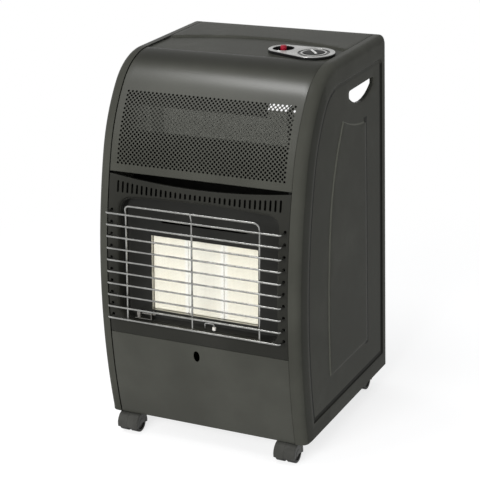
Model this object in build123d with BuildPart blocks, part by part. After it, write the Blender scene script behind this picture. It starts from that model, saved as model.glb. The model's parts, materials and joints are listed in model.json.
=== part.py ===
"""Portable gas cabinet heater on four twin-wheel casters.

Millimetres, +Z up, +X to the heater's left-hand side as seen from behind it,
the grille and guard facing -Y.  The origin lies on the floor, under the middle
of the overall width and depth.
"""
from build123d import *
from math import acos, asin, cos, hypot, radians, sin, tan
import os

os.makedirs("parts", exist_ok=True)

# ----------------------------------------------------------------- driving sizes
overall_width = 420.0
overall_height = 730.0          # floor to the top flanges of the side panels
cabinet_depth = 430.0           # foremost point of the bulged front to the rear plane
guard_stand_off = 20.0          # front of the guard before the bulged front
ground_clearance = 41.0         # floor to the bottom edge of the cabinet
sheet = 1.0                     # pressed steel sheet
seat = 0.25                     # gap left between pieces that are seated on each other

# front curve of the cabinet in side view: three tangent arcs, from the floor up
front_radius = 1165.0
shoulder_radius = 335.0
brow_radius = 121.0
front_angle = radians(15.1)     # slope at the top of the long front arc
shoulder_angle = radians(38.4)  # slope at the top of the shoulder arc

# side panels
flange_width = 23.0             # turned-in rim of a side panel
edge_radius = 14.0              # rounded outer edge of a side panel
rear_corner_radius = 9.0
band_width = 41.0               # raised band between the edge and the sunken field
field_depth = 2.0
field_rear_margin = 27.0
field_bottom_margin = 31.0
field_corner_radius = 12.0
step_taper = 40.0               # slope of the pressed steps, degrees
tongue_bottom = 134.0           # raised tongue in the middle of the field
tongue_rear_margin = 107.0      # from the rear plane
tongue_front_margin = 138.0     # from the bulged front
tongue_bulge = 2.5              # how far its front edge bulges
tongue_lean = 9.0               # how far its front edge leans back up to the bend
tongue_bend_drop = 302.0        # where that edge turns into the upper arc, below the top
tongue_tip_reach = 76.0         # tip behind the foot of the front edge
tongue_tip_drop = 116.0
tongue_crest_sink = 6.0
tongue_rear_drop = 144.0
handle_rear_margin = 125.0      # middle of the hand hole before the rear plane
handle_length = 118.0
handle_top_drop = 68.0
handle_drop = 33.0
handle_shoulder = 13.0          # height of its upright ends
handle_corner_radius = 5.0
handle_collar = 7.0             # depth of the turned-in collar of the hand hole

# front panels
seam = 0.8                      # shadow gap beside and between the front panels
front_inset = 1.2               # how far the front panels lie behind the rims of the sides
fold_radius = 1.6
fold_depth = 13.0               # depth of the turned-in edges
crease_margin = 196.0           # rear end of the upper panel behind the bulged front
lower_panel_drop = 511.5        # upper edge of the lower panel below the top
fascia_drop = 202.5             # upper edge of the fascia below the top
lip_dip = 13.5                  # how far the curved lip sinks in the middle
lip_overrun = 5.0
mesh_gap = 3.0                  # between fascia and upper panel
sight_hole_x = -4.0
sight_hole_drop = 23.5          # below the upper edge of the lower panel
sight_hole_width = 13.0
sight_hole_height = 22.0

# perforated zone of the upper panel
mesh_zone_margin = 27.0         # lowest row of holes above the edge of the panel
mesh_side_margin = 57.75        # outermost holes from the sides of the cabinet
mesh_columns = 8
mesh_rows = 6
mesh_row_step = 21.0
mesh_hole = 18.5                # side of a diamond hole

# vent slots under the lip
slot_count = 34
slot_side_margin = 43.5         # outermost slots from the sides of the cabinet
slot_width = 4.2
slot_depth = 34.5               # foot of the slots below the upper edge of the fascia
slot_lip_margin = 9.0

# burner opening in the fascia
opening_side_margin = 46.0
opening_rise = 25.5             # above the lower panel
opening_side_drop = 46.5        # below the upper edge of the fascia
opening_arch = 6.5              # rise of its arched top edge
opening_corner = 23.0
opening_draw = 8.0              # degrees by which the recess narrows towards the back
collar_front = 44.0             # recess planes, measured forwards from the plaque faces
collar_rear = 26.3
reflector_proud = 9.0

# wire guard, in a plane that leans back like the burner
wire_radius = 1.75
wire_sides = 8                  # the wires are drawn with flats to keep their faces few
guard_wires = 10
guard_rise = 13.0               # lowest wire above the lower edge of the opening
guard_pitch = 22.7
guard_side_margin = 32.0
guard_lean = radians(4.0)
guard_bend = 4.5                # bend radius of the wire ends
guard_leg = 27.0                # length of the bent-back wire ends
wire_hole_gap = 0.6
bow_side_margin = 73.0
bow_knee_rise = 4.0             # where the uprights start to lean forward, above the top wire
bow_rise = 17.7                 # bow above the top wire
bow_reach = 5.0                 # bow in front of the upright wires
bow_bend = 10.0
weld_gap = 0.3                  # crossing wires lie this close; their small welds are not drawn

# burner
burner_lean = radians(4.0)
plaque_count = 3
plaque_side_margin = 98.9       # row of plaques from the sides of the cabinet
plaque_height = 146.0
plaque_thickness = 12.0
plaque_gap = 1.0
plaque_rise = 18.0              # above the lower edge of the opening
plaque_bevel = 0.8
plaque_recess = 42.0            # plaque faces behind the bulged front, at their lower edge
frame_gap = 0.3                 # round the row of plaques
frame_rim = 2.6
plenum_depth = 34.0
plenum_radius = 6.0
plenum_neck = 9.5               # radius of the mixer neck on the side of the plenum
plenum_neck_height = 70.0       # above the foot of the plaques

# heat shield and baffle
shield_recess = 153.0           # behind the bulged front
shield_low = 60.0
shield_top_drop = 90.0
shield_flange = 12.0
baffle_side_margin = 124.0      # open part of the baffle on the right
baffle_lap = 14.0               # how far the baffle reaches down in front of the shield
baffle_reach = 64.0
baffle_top_drop = 30.0
baffle_lip = 12.0

# top cover
tray_sink = 3.0
rear_deck_gap = 50.0            # ends of the raised rear deck's edge behind the knob
rear_deck_arch = 42.0           # how far that edge is arched
cover_skirt = 12.0
rail_side_margin = 15.0
rail_low_drop = 40.0
rail_height = 24.5
rail_fold = 12.0

# control bezel, knob and button
knob_side_margin = 68.0
knob_recess = 237.0             # behind the bulged front
button_offset = (-67.0, 13.0)   # from the knob
bezel_large_radius = 40.0
bezel_small_radius = 29.0
bezel_height = 6.0
bezel_round = 2.0
dial_radius = 30.0
dial_step = 1.6
cup_depth = 8.0                 # how far the knob and button wells reach below the tray
cup_wall = 1.2
cup_hole_gap = 0.5
knob_radius = 20.4
knob_gap = 0.5                  # round the knob in its well
knob_rise = 0.6                 # knob face above the bezel
knob_push = 4.0
push_margin = 0.4
pointer_length = 32.0
pointer_width = 5.0
pointer_rise = 1.6
pointer_sink = 1.0
pointer_turn = -49.0            # rest position of the pointer bar, degrees
button_well = 20.2
button_radius = 5.8
button_rise = 6.0               # button above the bezel
button_travel = 6.0
button_stem_radius = 4.6
button_edge = 1.0

# gas valve and igniter under the top cover
spindle_radius = 4.0
spindle_flat = 1.2              # depth of the flat that turns the plug
spindle_reach = 6.0             # length of the spindle inside the knob
plug_radius = 7.5
plug_height = 20.0
plug_floor = 5.0
valve_radius = 13.0
valve_low_drop = 62.0
neck_radius = 9.5
neck_height = 3.0
running_gap = 0.05
port_radius = 7.0
port_drop = 54.0
port_length = 5.0
nozzle_radius = 4.1
nozzle_length = 24.0
nozzle_bore = 2.4
nozzle_lead = 0.7               # chamfered tip of the nozzle, beyond its length
nut_across = 15.0
nut_length = 7.0
piezo_radius = 10.5
piezo_low_drop = 74.0
piezo_bore_drop = 48.0
bracket_drop = 24.0             # upper side of the bracket plate below the top
bracket_sheet = 1.5
bracket_half_depth = 23.0
bracket_end = 27.5              # ends of the bracket plate beyond knob and button
bracket_ear = 12.0
pipe_radius = 4.0
pipe_bore = 3.0
pipe_bend = 12.0
pipe_cross_drop = 77.0          # where the pipe crosses over the heat shield, below the top
pipe_recess = 125.0             # behind the bulged front
injector_size = 16.0
injector_offset = 6.0           # of the injector from the pipe

# pilot burner and spark electrode on the floor of the reflector pan
pilot_side_margin = 78.0
pilot_recess = 18.0             # behind the bulged front
pilot_rise = 6.0                # foot above the lower edge of the opening
pilot_axis_rise = 9.0
pilot_height = 14.5
pilot_radius = 4.8
pilot_foot = 5.5
pilot_arm = 30.0
pilot_half_depth = 6.0
couple_radius = 1.5
couple_length = 30.0
electrode_x = 29.0
electrode_recess = 15.5         # behind the bulged front
electrode_rise = 5.0            # foot above the lower edge of the opening
electrode_height = 11.5
electrode_span = 19.0
electrode_radius = 0.9
electrode_bend = 3.0
insulator_radius = 3.4
insulator_height = 6.0

# rear cover
cover_side_gap = 0.4
cover_top_drop = 210.0
cover_fold = 11.0
louvre_rows = 5
louvre_pitch = 22.0
louvre_first = 120.0
louvre_length = 120.0
louvre_width = 6.0
louvre_side_margin = 125.0      # middle of the louvres from the sides of the cabinet
finger_hole = (64.0, 18.0)
finger_drop = 36.0

# base tray
tray_sheet = 1.2
tray_rim = 14.0
tray_corner = 13.0
tray_side_gap = 0.3
socket_radius = 9.0
socket_height = 20.0
floor_rib = (240.0, 9.0)        # pressed ribs that carry the bottle: length and width
floor_rib_rise = 3.0
floor_rib_pitch = 60.0
bottle_rear_margin = 140.0      # middle of the bottle bay before the rear plane
screw_side_margin = 13.0
screw_front_margin = 85.0       # front screws behind the bulged front
screw_rear_margin = 25.0
screw_radius = 1.9
screw_gap = 0.3
screw_head_radius = 3.6
screw_head = 1.8
screw_length = 9.0

# casters
caster_side_margin = 42.0
caster_front_margin = 24.254    # behind the foot of the front curve
caster_rear_margin = 40.0
caster_trail = 16.0
wheel_radius = 18.5
wheel_width = 16.2
wheel_gap = 0.4
wheel_dish = 2.2                # depth of the dished wheel face
wheel_dish_radius = 13.0
hub_web = 6.0
hood_gap = 1.2
hood_wall = 1.8
hood_cut = 13.0                 # lower edge of the hood above the floor
hood_round = 1.6
boss_radius = 9.0
axle_radius = 3.0
stem_radius = 5.0
stem_top = 58.0

# ------------------------------------------------------------- derived positions
overall_depth = cabinet_depth + guard_stand_off
half_width = overall_width / 2
rear_y = overall_depth / 2
bulge_y = rear_y - cabinet_depth
flange_x = half_width - flange_width
panel_half = flange_x - seam
tray_top = overall_height - tray_sink
panel_bottom = ground_clearance
lower_panel_top = overall_height - lower_panel_drop
fascia_low = lower_panel_top + seam
fascia_top = overall_height - fascia_drop
mesh_bottom = fascia_top + mesh_gap
crease_y = bulge_y + crease_margin
cover_front = crease_y + seam

tongue_rear = rear_y - tongue_rear_margin
tongue_front = bulge_y + tongue_front_margin
tongue_bend = (tongue_front + tongue_lean, overall_height - tongue_bend_drop)
tongue_tip = (tongue_front + tongue_tip_reach, overall_height - tongue_tip_drop)
tongue_rear_top = overall_height - tongue_rear_drop
handle_middle = rear_y - handle_rear_margin
handle_top = overall_height - handle_top_drop

sight_hole_z = lower_panel_top - sight_hole_drop
mesh_zone_low = mesh_bottom + mesh_zone_margin
mesh_pitch = 2 * (half_width - mesh_side_margin) / (mesh_columns - 1)
slot_half_span = half_width - slot_side_margin
slot_low = fascia_top - slot_depth
opening_half = half_width - opening_side_margin
opening_low = lower_panel_top + opening_rise
opening_side_top = fascia_top - opening_side_drop
opening_crown = opening_side_top + opening_arch
guard_low = opening_low + guard_rise
guard_half = half_width - guard_side_margin
bow_half = half_width - bow_side_margin
plaque_low = opening_low + plaque_rise
plaque_face = bulge_y + plaque_recess
burner_half = half_width - plaque_side_margin
plaque_step = (2 * burner_half + plaque_gap) / plaque_count
plaque_width = plaque_step - plaque_gap

shield_face = bulge_y + shield_recess
shield_high = overall_height - shield_top_drop
baffle_right = half_width - baffle_side_margin
baffle_top = (shield_face + baffle_reach, overall_height - baffle_top_drop)
rail_half = half_width - rail_side_margin
rail_low = overall_height - rail_low_drop
rail_high = rail_low + rail_height

knob_spot = (half_width - knob_side_margin, bulge_y + knob_recess)
button_spot = (knob_spot[0] + button_offset[0], knob_spot[1] + button_offset[1])
rear_deck_side = knob_spot[1] + rear_deck_gap
rear_deck_middle = rear_deck_side + rear_deck_arch
valve_low = overall_height - valve_low_drop
port_height = overall_height - port_drop
piezo_low = overall_height - piezo_low_drop
piezo_bore_floor = overall_height - piezo_bore_drop
bracket_level = overall_height - bracket_drop
bracket_left = button_spot[0] - bracket_end
bracket_right = knob_spot[0] + bracket_end
pipe_cross = overall_height - pipe_cross_drop
pipe_front_y = bulge_y + pipe_recess
injector_x = knob_spot[0] - injector_offset

pilot_x = pilot_side_margin - half_width
pilot_y = bulge_y + pilot_recess
pilot_floor = opening_low + pilot_rise
pilot_axis = pilot_floor + pilot_axis_rise
pilot_high = pilot_floor + pilot_height
electrode_y = bulge_y + electrode_recess
electrode_floor = opening_low + electrode_rise

cover_high = overall_height - cover_top_drop
louvre_x = half_width - louvre_side_margin
finger_height = cover_high - finger_drop
bottle_y = rear_y - bottle_rear_margin
screw_x = half_width - screw_side_margin
screw_spots_y = (
    bulge_y + screw_front_margin,
    (bulge_y + screw_front_margin + rear_y - screw_rear_margin) / 2,
    rear_y - screw_rear_margin,
)

brow_z = overall_height - brow_radius
shoulder_z = brow_z - (shoulder_radius - brow_radius) * sin(shoulder_angle)
front_z = shoulder_z - (front_radius - shoulder_radius) * sin(front_angle)
front_cy = bulge_y + front_radius
shoulder_cy = front_cy - (front_radius - shoulder_radius) * cos(front_angle)
brow_cy = shoulder_cy - (shoulder_radius - brow_radius) * cos(shoulder_angle)

# centre y, centre z, radius, first and last angle above the horizontal
curve_arcs = [
    (front_cy, front_z, front_radius, radians(-90.0), front_angle),
    (shoulder_cy, shoulder_z, shoulder_radius, front_angle, shoulder_angle),
    (brow_cy, brow_z, brow_radius, shoulder_angle, radians(90.0)),
]


# ---------------------------------------------------------------- shared helpers
def curve_angle(arc, z, inset):
    """Angle on one arc, moved inwards by inset, at the height z."""
    sine = (z - arc[1]) / (arc[2] - inset)
    return asin(max(-1.0, min(1.0, sine)))


def curve_point(arc, angle, inset):
    """(y, z) at an angle on one arc, moved inwards by inset."""
    reach = arc[2] - inset
    return (arc[0] - reach * cos(angle), arc[1] + reach * sin(angle))


def curve_pieces(z_low, z_high, inset, short=0.0):
    """Three points for each arc of the front curve between two heights.

    short ends the topmost arc that far before the flat top.
    """
    pieces = []
    for arc in curve_arcs:
        first = max(arc[3], curve_angle(arc, z_low, inset))
        last = min(arc[4], curve_angle(arc, z_high, inset))
        if short and arc is curve_arcs[-1]:
            last = min(last, acos(short / (arc[2] - inset)))
        if last - first > 0.0005:
            angles = (first, (first + last) / 2, last)
            pieces.append([curve_point(arc, angle, inset) for angle in angles])
    return pieces


def front_y(z, inset=0.0):
    """Y of the front curve at the height z."""
    return curve_pieces(z - 1.0, z, inset)[-1][2][0]


def draw_front(pieces):
    for start, middle, end in pieces:
        ThreePointArc(start, middle, end)


def band_face(z_low, z_high, outer, inner, short=0.0):
    """Closed face between two insets of the front curve."""
    outside = curve_pieces(z_low, z_high, outer, short)
    inside = curve_pieces(z_low, z_high, inner, short)
    with BuildSketch() as face:
        with BuildLine():
            draw_front(outside)
            draw_front(inside)
            Line(outside[0][0], inside[0][0])
            Line(outside[-1][2], inside[-1][2])
        make_face()
    return face.sketch


def side_face(inset, rear_inset, bottom_inset, corner):
    """Closed side-view outline of the cabinet, moved inwards."""
    bottom = ground_clearance + bottom_inset
    pieces = curve_pieces(bottom, overall_height, inset)
    top = overall_height - inset
    back = rear_y - rear_inset
    with BuildSketch() as face:
        with BuildLine():
            draw_front(pieces)
            Line(pieces[-1][2], (back - corner, top))
            RadiusArc((back - corner, top), (back, top - corner), corner)
            Polyline((back, top - corner), (back, bottom), pieces[0][0])
        make_face()
    return face.sketch


def tongue_face(grow):
    """Raised tongue of a side panel: straight foot and back, arched front and top."""
    foot = tongue_bottom - grow
    back = tongue_rear + grow
    bend = (tongue_bend[0] - grow, tongue_bend[1])
    tip = (tongue_tip[0] - grow / 2, tongue_tip[1] + grow)
    rear_top = (back, tongue_rear_top + grow)
    front_middle = (tongue_front - tongue_bulge - grow, (foot + bend[1]) / 2)
    with BuildSketch() as face:
        with BuildLine():
            lower = ThreePointArc((tongue_front - grow, foot), front_middle, bend)
            TangentArc(bend, tip, tangent=lower % 1)
            ThreePointArc(tip, ((tip[0] + back) / 2, (tip[1] + rear_top[1]) / 2 - tongue_crest_sink), rear_top)
            Polyline(rear_top, (back, foot), (tongue_front - grow, foot))
        make_face()
    return face.sketch


def field_face(grow):
    """Sunken field of a side panel: all inside the raised band except the tongue."""
    with BuildSketch() as face:
        add(
            side_face(
                band_width - grow,
                field_rear_margin - grow,
                field_bottom_margin - grow,
                field_corner_radius + grow,
            )
        )
        add(tongue_face(-grow), mode=Mode.SUBTRACT)
    return face.sketch


def handle_face(grow):
    """Hand hole: straight top edge, short upright ends, rounded belly."""
    half = handle_length / 2 + grow
    top = handle_top + grow
    waist = handle_top - handle_shoulder
    belly = handle_top - handle_drop - grow
    with BuildSketch() as face:
        with BuildLine():
            Line((handle_middle - half, top), (handle_middle + half, top))
            Line((handle_middle - half, top), (handle_middle - half, waist))
            Line((handle_middle + half, top), (handle_middle + half, waist))
            ThreePointArc(
                (handle_middle - half, waist), (handle_middle, belly), (handle_middle + half, waist)
            )
        make_face()
        fillet(vertices(), handle_corner_radius + grow)
    return face.sketch


def lip_face(drop):
    """Everything above the curved lip of the fascia, in front view."""
    side = panel_half + lip_overrun
    low = fascia_top - drop
    high = fascia_top + 2 * fold_depth
    with BuildSketch() as face:
        with BuildLine():
            ThreePointArc((-side, low), (0, low - lip_dip), (side, low))
            Polyline((side, low), (side, high), (-side, high), (-side, low))
        make_face()
    return face.sketch


def opening_face(grow):
    """Burner opening with its arched top edge, measured up from the foot of the plaques."""
    half = opening_half + grow
    low = opening_low - plaque_low - grow
    side_top = opening_side_top - plaque_low + grow
    crown = opening_crown - plaque_low + grow
    with BuildSketch() as face:
        with BuildLine():
            ThreePointArc((-half, side_top), (0, crown), (half, side_top))
            Polyline((half, side_top), (half, low), (-half, low), (-half, side_top))
        make_face()
        fillet(vertices(), opening_corner + grow)
    return face.sketch


def leaning_plane(x, y, z, lean):
    """Plane that faces the front and leans back by an angle; local Y runs up it."""
    return Plane(origin=(x, y, z), x_dir=(1, 0, 0), z_dir=(0, -cos(lean), sin(lean)))


def front_panel(z_low, z_high, short=0.0, lip=False):
    """Pressed front panel: a curved skin with turned-in edges all round.

    short ends it that far before the top of the curve; lip cuts its upper edge
    along the curved lip instead of straight across.
    """
    deep = front_inset + fold_depth
    with BuildPart() as hollow:
        hollow_high = z_high + fold_depth if lip else z_high - sheet
        with BuildSketch(Plane.YZ):
            add(band_face(z_low + sheet, hollow_high, front_inset + sheet, 2 * deep, short + sheet))
        extrude(amount=panel_half - sheet, both=True)
        if lip:
            with BuildSketch(Plane.XZ):
                add(lip_face(sheet))
            extrude(amount=overall_depth, both=True, mode=Mode.SUBTRACT)

    with BuildPart() as panel:
        with BuildSketch(Plane.YZ):
            add(band_face(z_low, z_high, front_inset, deep, short))
        extrude(amount=panel_half, both=True)
        rim_edges = [
            e for e in edges() if abs(e.center().X) > panel_half - seat and e.length > 2 * fold_depth
        ]
        fillet(ShapeList(rim_edges).sort_by(Axis.Y)[: len(rim_edges) // 2], fold_radius)
        if lip:
            with BuildSketch(Plane.XZ):
                add(lip_face(0))
            extrude(amount=overall_depth, both=True, mode=Mode.SUBTRACT)
        add(hollow.part, mode=Mode.SUBTRACT)
    return panel.part


def cover_block(inset):
    """Top cover as a solid block, moved inwards: low tray with a raised rear deck."""
    half = panel_half - inset
    front = cover_front + inset
    back = rear_y - seat - inset
    with BuildPart() as block:
        with BuildSketch(Plane.XY.offset(tray_top - cover_skirt - inset)):
            with Locations((0, (front + back) / 2)):
                Rectangle(2 * half, back - front)
        extrude(amount=cover_skirt)
        with BuildSketch(Plane.XY.offset(tray_top - cover_skirt)):
            with BuildLine():
                deck_side = rear_deck_side + inset
                ThreePointArc((-half, deck_side), (0, rear_deck_middle + inset), (half, deck_side))
                Polyline((half, deck_side), (half, back), (-half, back), (-half, deck_side))
            make_face()
        extrude(amount=cover_skirt + tray_sink - inset)
        top_edges = faces().sort_by(Axis.Z)[-1].edges()
        fillet(top_edges.sort_by(Axis.Y)[-1], rear_corner_radius - inset)
    return block.part


def folded_face(points, thickness):
    """Cross-section of a folded sheet; the points run along its right-hand side."""
    with BuildSketch() as face:
        with BuildLine():
            Polyline(*points)
            offset(amount=thickness, side=Side.LEFT, kind=Kind.INTERSECTION)
        make_face()
    return face.sketch


def export(builder, name):
    builder.part.label = name
    export_step(builder.part, f"parts/{name}.step")


# ------------------------------------------------------------------- side panels
field_face_x = half_width - field_depth

for side_name, side_sign in (("right", 1), ("left", -1)):
    # hollow of the panel, which leaves a sheet with a turned-in rim
    with BuildPart() as core:
        with BuildSketch(Plane.YZ.offset(flange_x - 1)):
            add(side_face(sheet, sheet, sheet, rear_corner_radius - sheet))
        extrude(amount=flange_width + 1 - sheet)
        rim_edges = faces().sort_by(Axis.X)[-1].edges().sort_by(Axis.Z)[1:]
        fillet(rim_edges, edge_radius - sheet)
        with BuildSketch(Plane.YZ.offset(half_width - sheet)):
            add(field_face(sheet))
        extrude(amount=-field_depth, taper=step_taper, mode=Mode.SUBTRACT)

    with BuildPart() as side_panel:
        with BuildSketch(Plane.YZ.offset(flange_x)):
            add(side_face(0, 0, 0, rear_corner_radius))
        extrude(amount=flange_width)
        rim_edges = faces().sort_by(Axis.X)[-1].edges().sort_by(Axis.Z)[1:]
        fillet(rim_edges, edge_radius)
        with BuildSketch(Plane.YZ.offset(half_width)):
            add(field_face(0))
        extrude(amount=-field_depth, taper=step_taper, mode=Mode.SUBTRACT)
        add(core.part, mode=Mode.SUBTRACT)
        # collar and hand hole
        with BuildSketch(Plane.YZ.offset(field_face_x)):
            add(handle_face(sheet))
        extrude(amount=-handle_collar)
        with BuildSketch(Plane.YZ.offset(half_width)):
            add(handle_face(0))
        extrude(amount=-field_depth - handle_collar, mode=Mode.SUBTRACT)
        with Locations([(screw_x, y, panel_bottom + sheet) for y in screw_spots_y]):
            Hole(screw_radius + screw_gap, depth=2 * sheet)
        if side_sign < 0:
            mirror(about=Plane.YZ, mode=Mode.REPLACE)
    export(side_panel, f"side_panel_{side_name}")


# ------------------------------------------------------------------ front panels
with BuildPart() as lower_front_panel:
    add(front_panel(panel_bottom, lower_panel_top))
    with BuildSketch(Plane.XZ):
        with Locations((sight_hole_x, sight_hole_z)):
            Ellipse(sight_hole_width / 2, sight_hole_height / 2)
    extrude(amount=overall_depth, mode=Mode.SUBTRACT)
export(lower_front_panel, "lower_front_panel")

with BuildPart() as mesh_panel:
    add(front_panel(mesh_bottom, overall_height, short=brow_cy - crease_y))
    row_middle = mesh_zone_low + (mesh_rows - 1) * mesh_row_step / 2
    with BuildSketch(Plane.XZ):
        with Locations((0, row_middle - mesh_row_step / 2)):
            with GridLocations(mesh_pitch, 2 * mesh_row_step, mesh_columns, mesh_rows // 2):
                Rectangle(mesh_hole, mesh_hole, rotation=45)
        with Locations((0, row_middle + mesh_row_step / 2)):
            with GridLocations(mesh_pitch, 2 * mesh_row_step, mesh_columns - 1, mesh_rows // 2):
                Rectangle(mesh_hole, mesh_hole, rotation=45)
    extrude(amount=overall_depth, mode=Mode.SUBTRACT)
export(mesh_panel, "mesh_panel")

# The recess of the burner opening narrows towards the back: its collar belongs to
# the fascia, and the reflector pan carries on behind it with the same draw.
burner_plane = leaning_plane(0, plaque_face, plaque_low, burner_lean)
draw_rate = tan(radians(opening_draw))
guard_front = -overall_depth / 2 + wire_radius
guard_plane = leaning_plane(0, guard_front, guard_low, guard_lean)
guard_height = (guard_wires - 1) * guard_pitch

with BuildPart() as collar:
    with BuildSketch(burner_plane.offset(collar_front)):
        add(opening_face(sheet))
    extrude(amount=collar_rear - collar_front, taper=opening_draw)
    with BuildSketch(Plane.YZ):
        add(band_face(fascia_low, fascia_top, front_inset, front_inset + 3 * fold_depth))
    extrude(amount=panel_half, both=True, mode=Mode.INTERSECT)

with BuildPart() as front_fascia:
    add(front_panel(fascia_low, fascia_top, lip=True))
    add(collar.part)
    with BuildSketch(burner_plane.offset(collar_front)):
        add(opening_face(0))
    extrude(amount=2 * (collar_rear - collar_front), taper=opening_draw, mode=Mode.SUBTRACT)
    # vent slots that follow the lip
    slot_pitch = 2 * slot_half_span / (slot_count - 1)
    with BuildSketch(Plane.XZ):
        with Locations((0, (slot_low + fascia_top) / 2)):
            with GridLocations(slot_pitch, 1, slot_count, 1):
                Rectangle(slot_width, fascia_top - slot_low)
        add(lip_face(slot_lip_margin), mode=Mode.SUBTRACT)
    extrude(amount=overall_depth, mode=Mode.SUBTRACT)
    # holes for the ends of the guard wires
    with BuildSketch(guard_plane):
        with Locations((0, guard_height / 2)):
            with GridLocations(2 * guard_half, guard_pitch, 2, guard_wires):
                RegularPolygon(wire_radius + wire_hole_gap, wire_sides)
    extrude(amount=-2 * guard_leg, mode=Mode.SUBTRACT)
export(front_fascia, "front_fascia")

# ------------------------------------------------------------------- wire guard
# Ten bent cross wires lie on two kinds of upright behind them; the outer uprights
# and the raised bow above the top wire are one bent wire.
cross_depth = 2 * wire_radius + weld_gap
upright_foot = -wire_radius - 1.0
knee = guard_height + bow_knee_rise
bow_top = guard_height + bow_rise
bow_front = bow_reach - cross_depth
half_side = 180 / wire_sides
wire_corner = wire_radius / cos(radians(half_side))
middle_stop = 1 - (wire_corner + weld_gap) / hypot(bow_top - knee, bow_reach)


def guard_point(x, up, out):
    """Point of the guard plane: across, up and out towards the front."""
    return guard_plane.from_local_coords(Vector(x, up, out))


with BuildPart() as wire_guard:
    for wire in range(guard_wires):
        rise = wire * guard_pitch
        with BuildLine() as cross_path:
            FilletPolyline(
                guard_point(-guard_half, rise, -guard_leg),
                guard_point(-guard_half, rise, 0),
                guard_point(guard_half, rise, 0),
                guard_point(guard_half, rise, -guard_leg),
                radius=guard_bend,
            )
        with BuildSketch(Plane(cross_path.line @ 0, x_dir=(0, 0, 1), z_dir=cross_path.line % 0)):
            RegularPolygon(wire_radius, wire_sides, major_radius=False, rotation=half_side)
        sweep(path=cross_path.line)
export(wire_guard, "wire_guard")

with BuildPart() as guard_bow:
    with BuildLine() as bow_path:
        FilletPolyline(
            guard_point(-bow_half, upright_foot, -cross_depth),
            guard_point(-bow_half, knee, -cross_depth),
            guard_point(-bow_half, bow_top, bow_front),
            guard_point(bow_half, bow_top, bow_front),
            guard_point(bow_half, knee, -cross_depth),
            guard_point(bow_half, upright_foot, -cross_depth),
            radius=bow_bend,
        )
    with BuildSketch(Plane(bow_path.line @ 0, x_dir=(1, 0, 0), z_dir=bow_path.line % 0)):
        RegularPolygon(wire_radius, wire_sides, major_radius=False, rotation=half_side)
    sweep(path=bow_path.line)
export(guard_bow, "guard_bow")

with BuildPart() as guard_upright:
    with BuildLine() as middle_path:
        FilletPolyline(
            guard_point(0, upright_foot, -cross_depth),
            guard_point(0, knee, -cross_depth),
            guard_point(
                0,
                knee + middle_stop * (bow_top - knee),
                middle_stop * bow_reach - cross_depth,
            ),
            radius=bow_bend,
        )
    with BuildSketch(Plane(middle_path.line @ 0, x_dir=(1, 0, 0), z_dir=middle_path.line % 0)):
        RegularPolygon(wire_radius, wire_sides, major_radius=False, rotation=half_side)
    sweep(path=middle_path.line)
export(guard_upright, "guard_upright")

# ----------------------------------------------------------------------- burner
burner_middle = plaque_height / 2

for plaque_name, plaque_x in (("left", -plaque_step), ("middle", 0.0), ("right", plaque_step)):
    with BuildPart() as plaque:
        with BuildSketch(burner_plane):
            with Locations((plaque_x, burner_middle)):
                Rectangle(plaque_width, plaque_height)
        extrude(amount=-plaque_thickness)
        chamfer(faces().sort_by(Axis.Y)[0].edges(), plaque_bevel)
    export(plaque, f"ceramic_plaque_{plaque_name}")

frame_front = reflector_proud - sheet - seat
frame_rear = plaque_thickness + seat
frame_inner = (2 * (burner_half + frame_gap), plaque_height + 2 * frame_gap)
frame_outer = (frame_inner[0] + 2 * frame_rim, frame_inner[1] + 2 * frame_rim)

with BuildPart() as plaque_frame:
    with BuildSketch(burner_plane.offset(frame_front)):
        with Locations((0, burner_middle)):
            Rectangle(*frame_outer)
            Rectangle(*frame_inner, mode=Mode.SUBTRACT)
    extrude(amount=-frame_front - frame_rear)
export(plaque_frame, "plaque_frame")

# gas box behind the plaques, open towards them, with the mixer neck on its right
plenum_front = -frame_rear - seat
plenum_middle = plenum_front - plenum_depth / 2
neck_end = injector_x - injector_size / 2 - seat

with BuildPart() as burner_plenum:
    with BuildSketch(burner_plane.offset(plenum_front)):
        with Locations((0, burner_middle)):
            RectangleRounded(*frame_outer, plenum_radius)
    extrude(amount=-plenum_depth)
    offset(amount=-sheet, openings=faces().sort_by(Axis.Y)[0])
    neck_start = frame_outer[0] / 2 - sheet / 2
    neck_centre = burner_plane.from_local_coords(Vector(0, plenum_neck_height, plenum_middle))
    with BuildSketch(Plane.YZ.offset(neck_start)):
        with Locations((neck_centre.Y, neck_centre.Z)):
            Circle(plenum_neck)
    extrude(amount=neck_end - neck_start)
    with BuildSketch(Plane.YZ.offset(neck_start - sheet)):
        with Locations((neck_centre.Y, neck_centre.Z)):
            Circle(plenum_neck - sheet)
    extrude(amount=neck_end - neck_start + sheet, mode=Mode.SUBTRACT)
export(burner_plenum, "burner_plenum")

# reflector pan: dark backplate with a window for the plaques and a flared rim
pan_back = reflector_proud - sheet
pan_depth = collar_rear - seat - pan_back

with BuildPart() as burner_reflector:
    with BuildSketch(burner_plane.offset(pan_back)):
        add(opening_face(sheet - draw_rate * (collar_front - pan_back)))
    extrude(amount=pan_depth, taper=-opening_draw)
    with BuildSketch(burner_plane.offset(reflector_proud)):
        add(opening_face(-draw_rate * (collar_front - reflector_proud)))
    extrude(amount=pan_depth, taper=-opening_draw, mode=Mode.SUBTRACT)
    with BuildSketch(burner_plane.offset(reflector_proud)):
        with Locations((0, burner_middle)):
            Rectangle(*frame_inner)
        with Locations((0, (plaque_height + opening_side_top - plaque_low) / 2 - 6.0)):
            SlotOverall(1.6 * burner_half, 7.0)
    extrude(amount=-2 * sheet, mode=Mode.SUBTRACT)
export(burner_reflector, "burner_reflector")

# ----------------------------------------------------------- heat shield, baffle
field_inner = field_face_x - sheet
sheet_half = field_inner - seat

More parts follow.
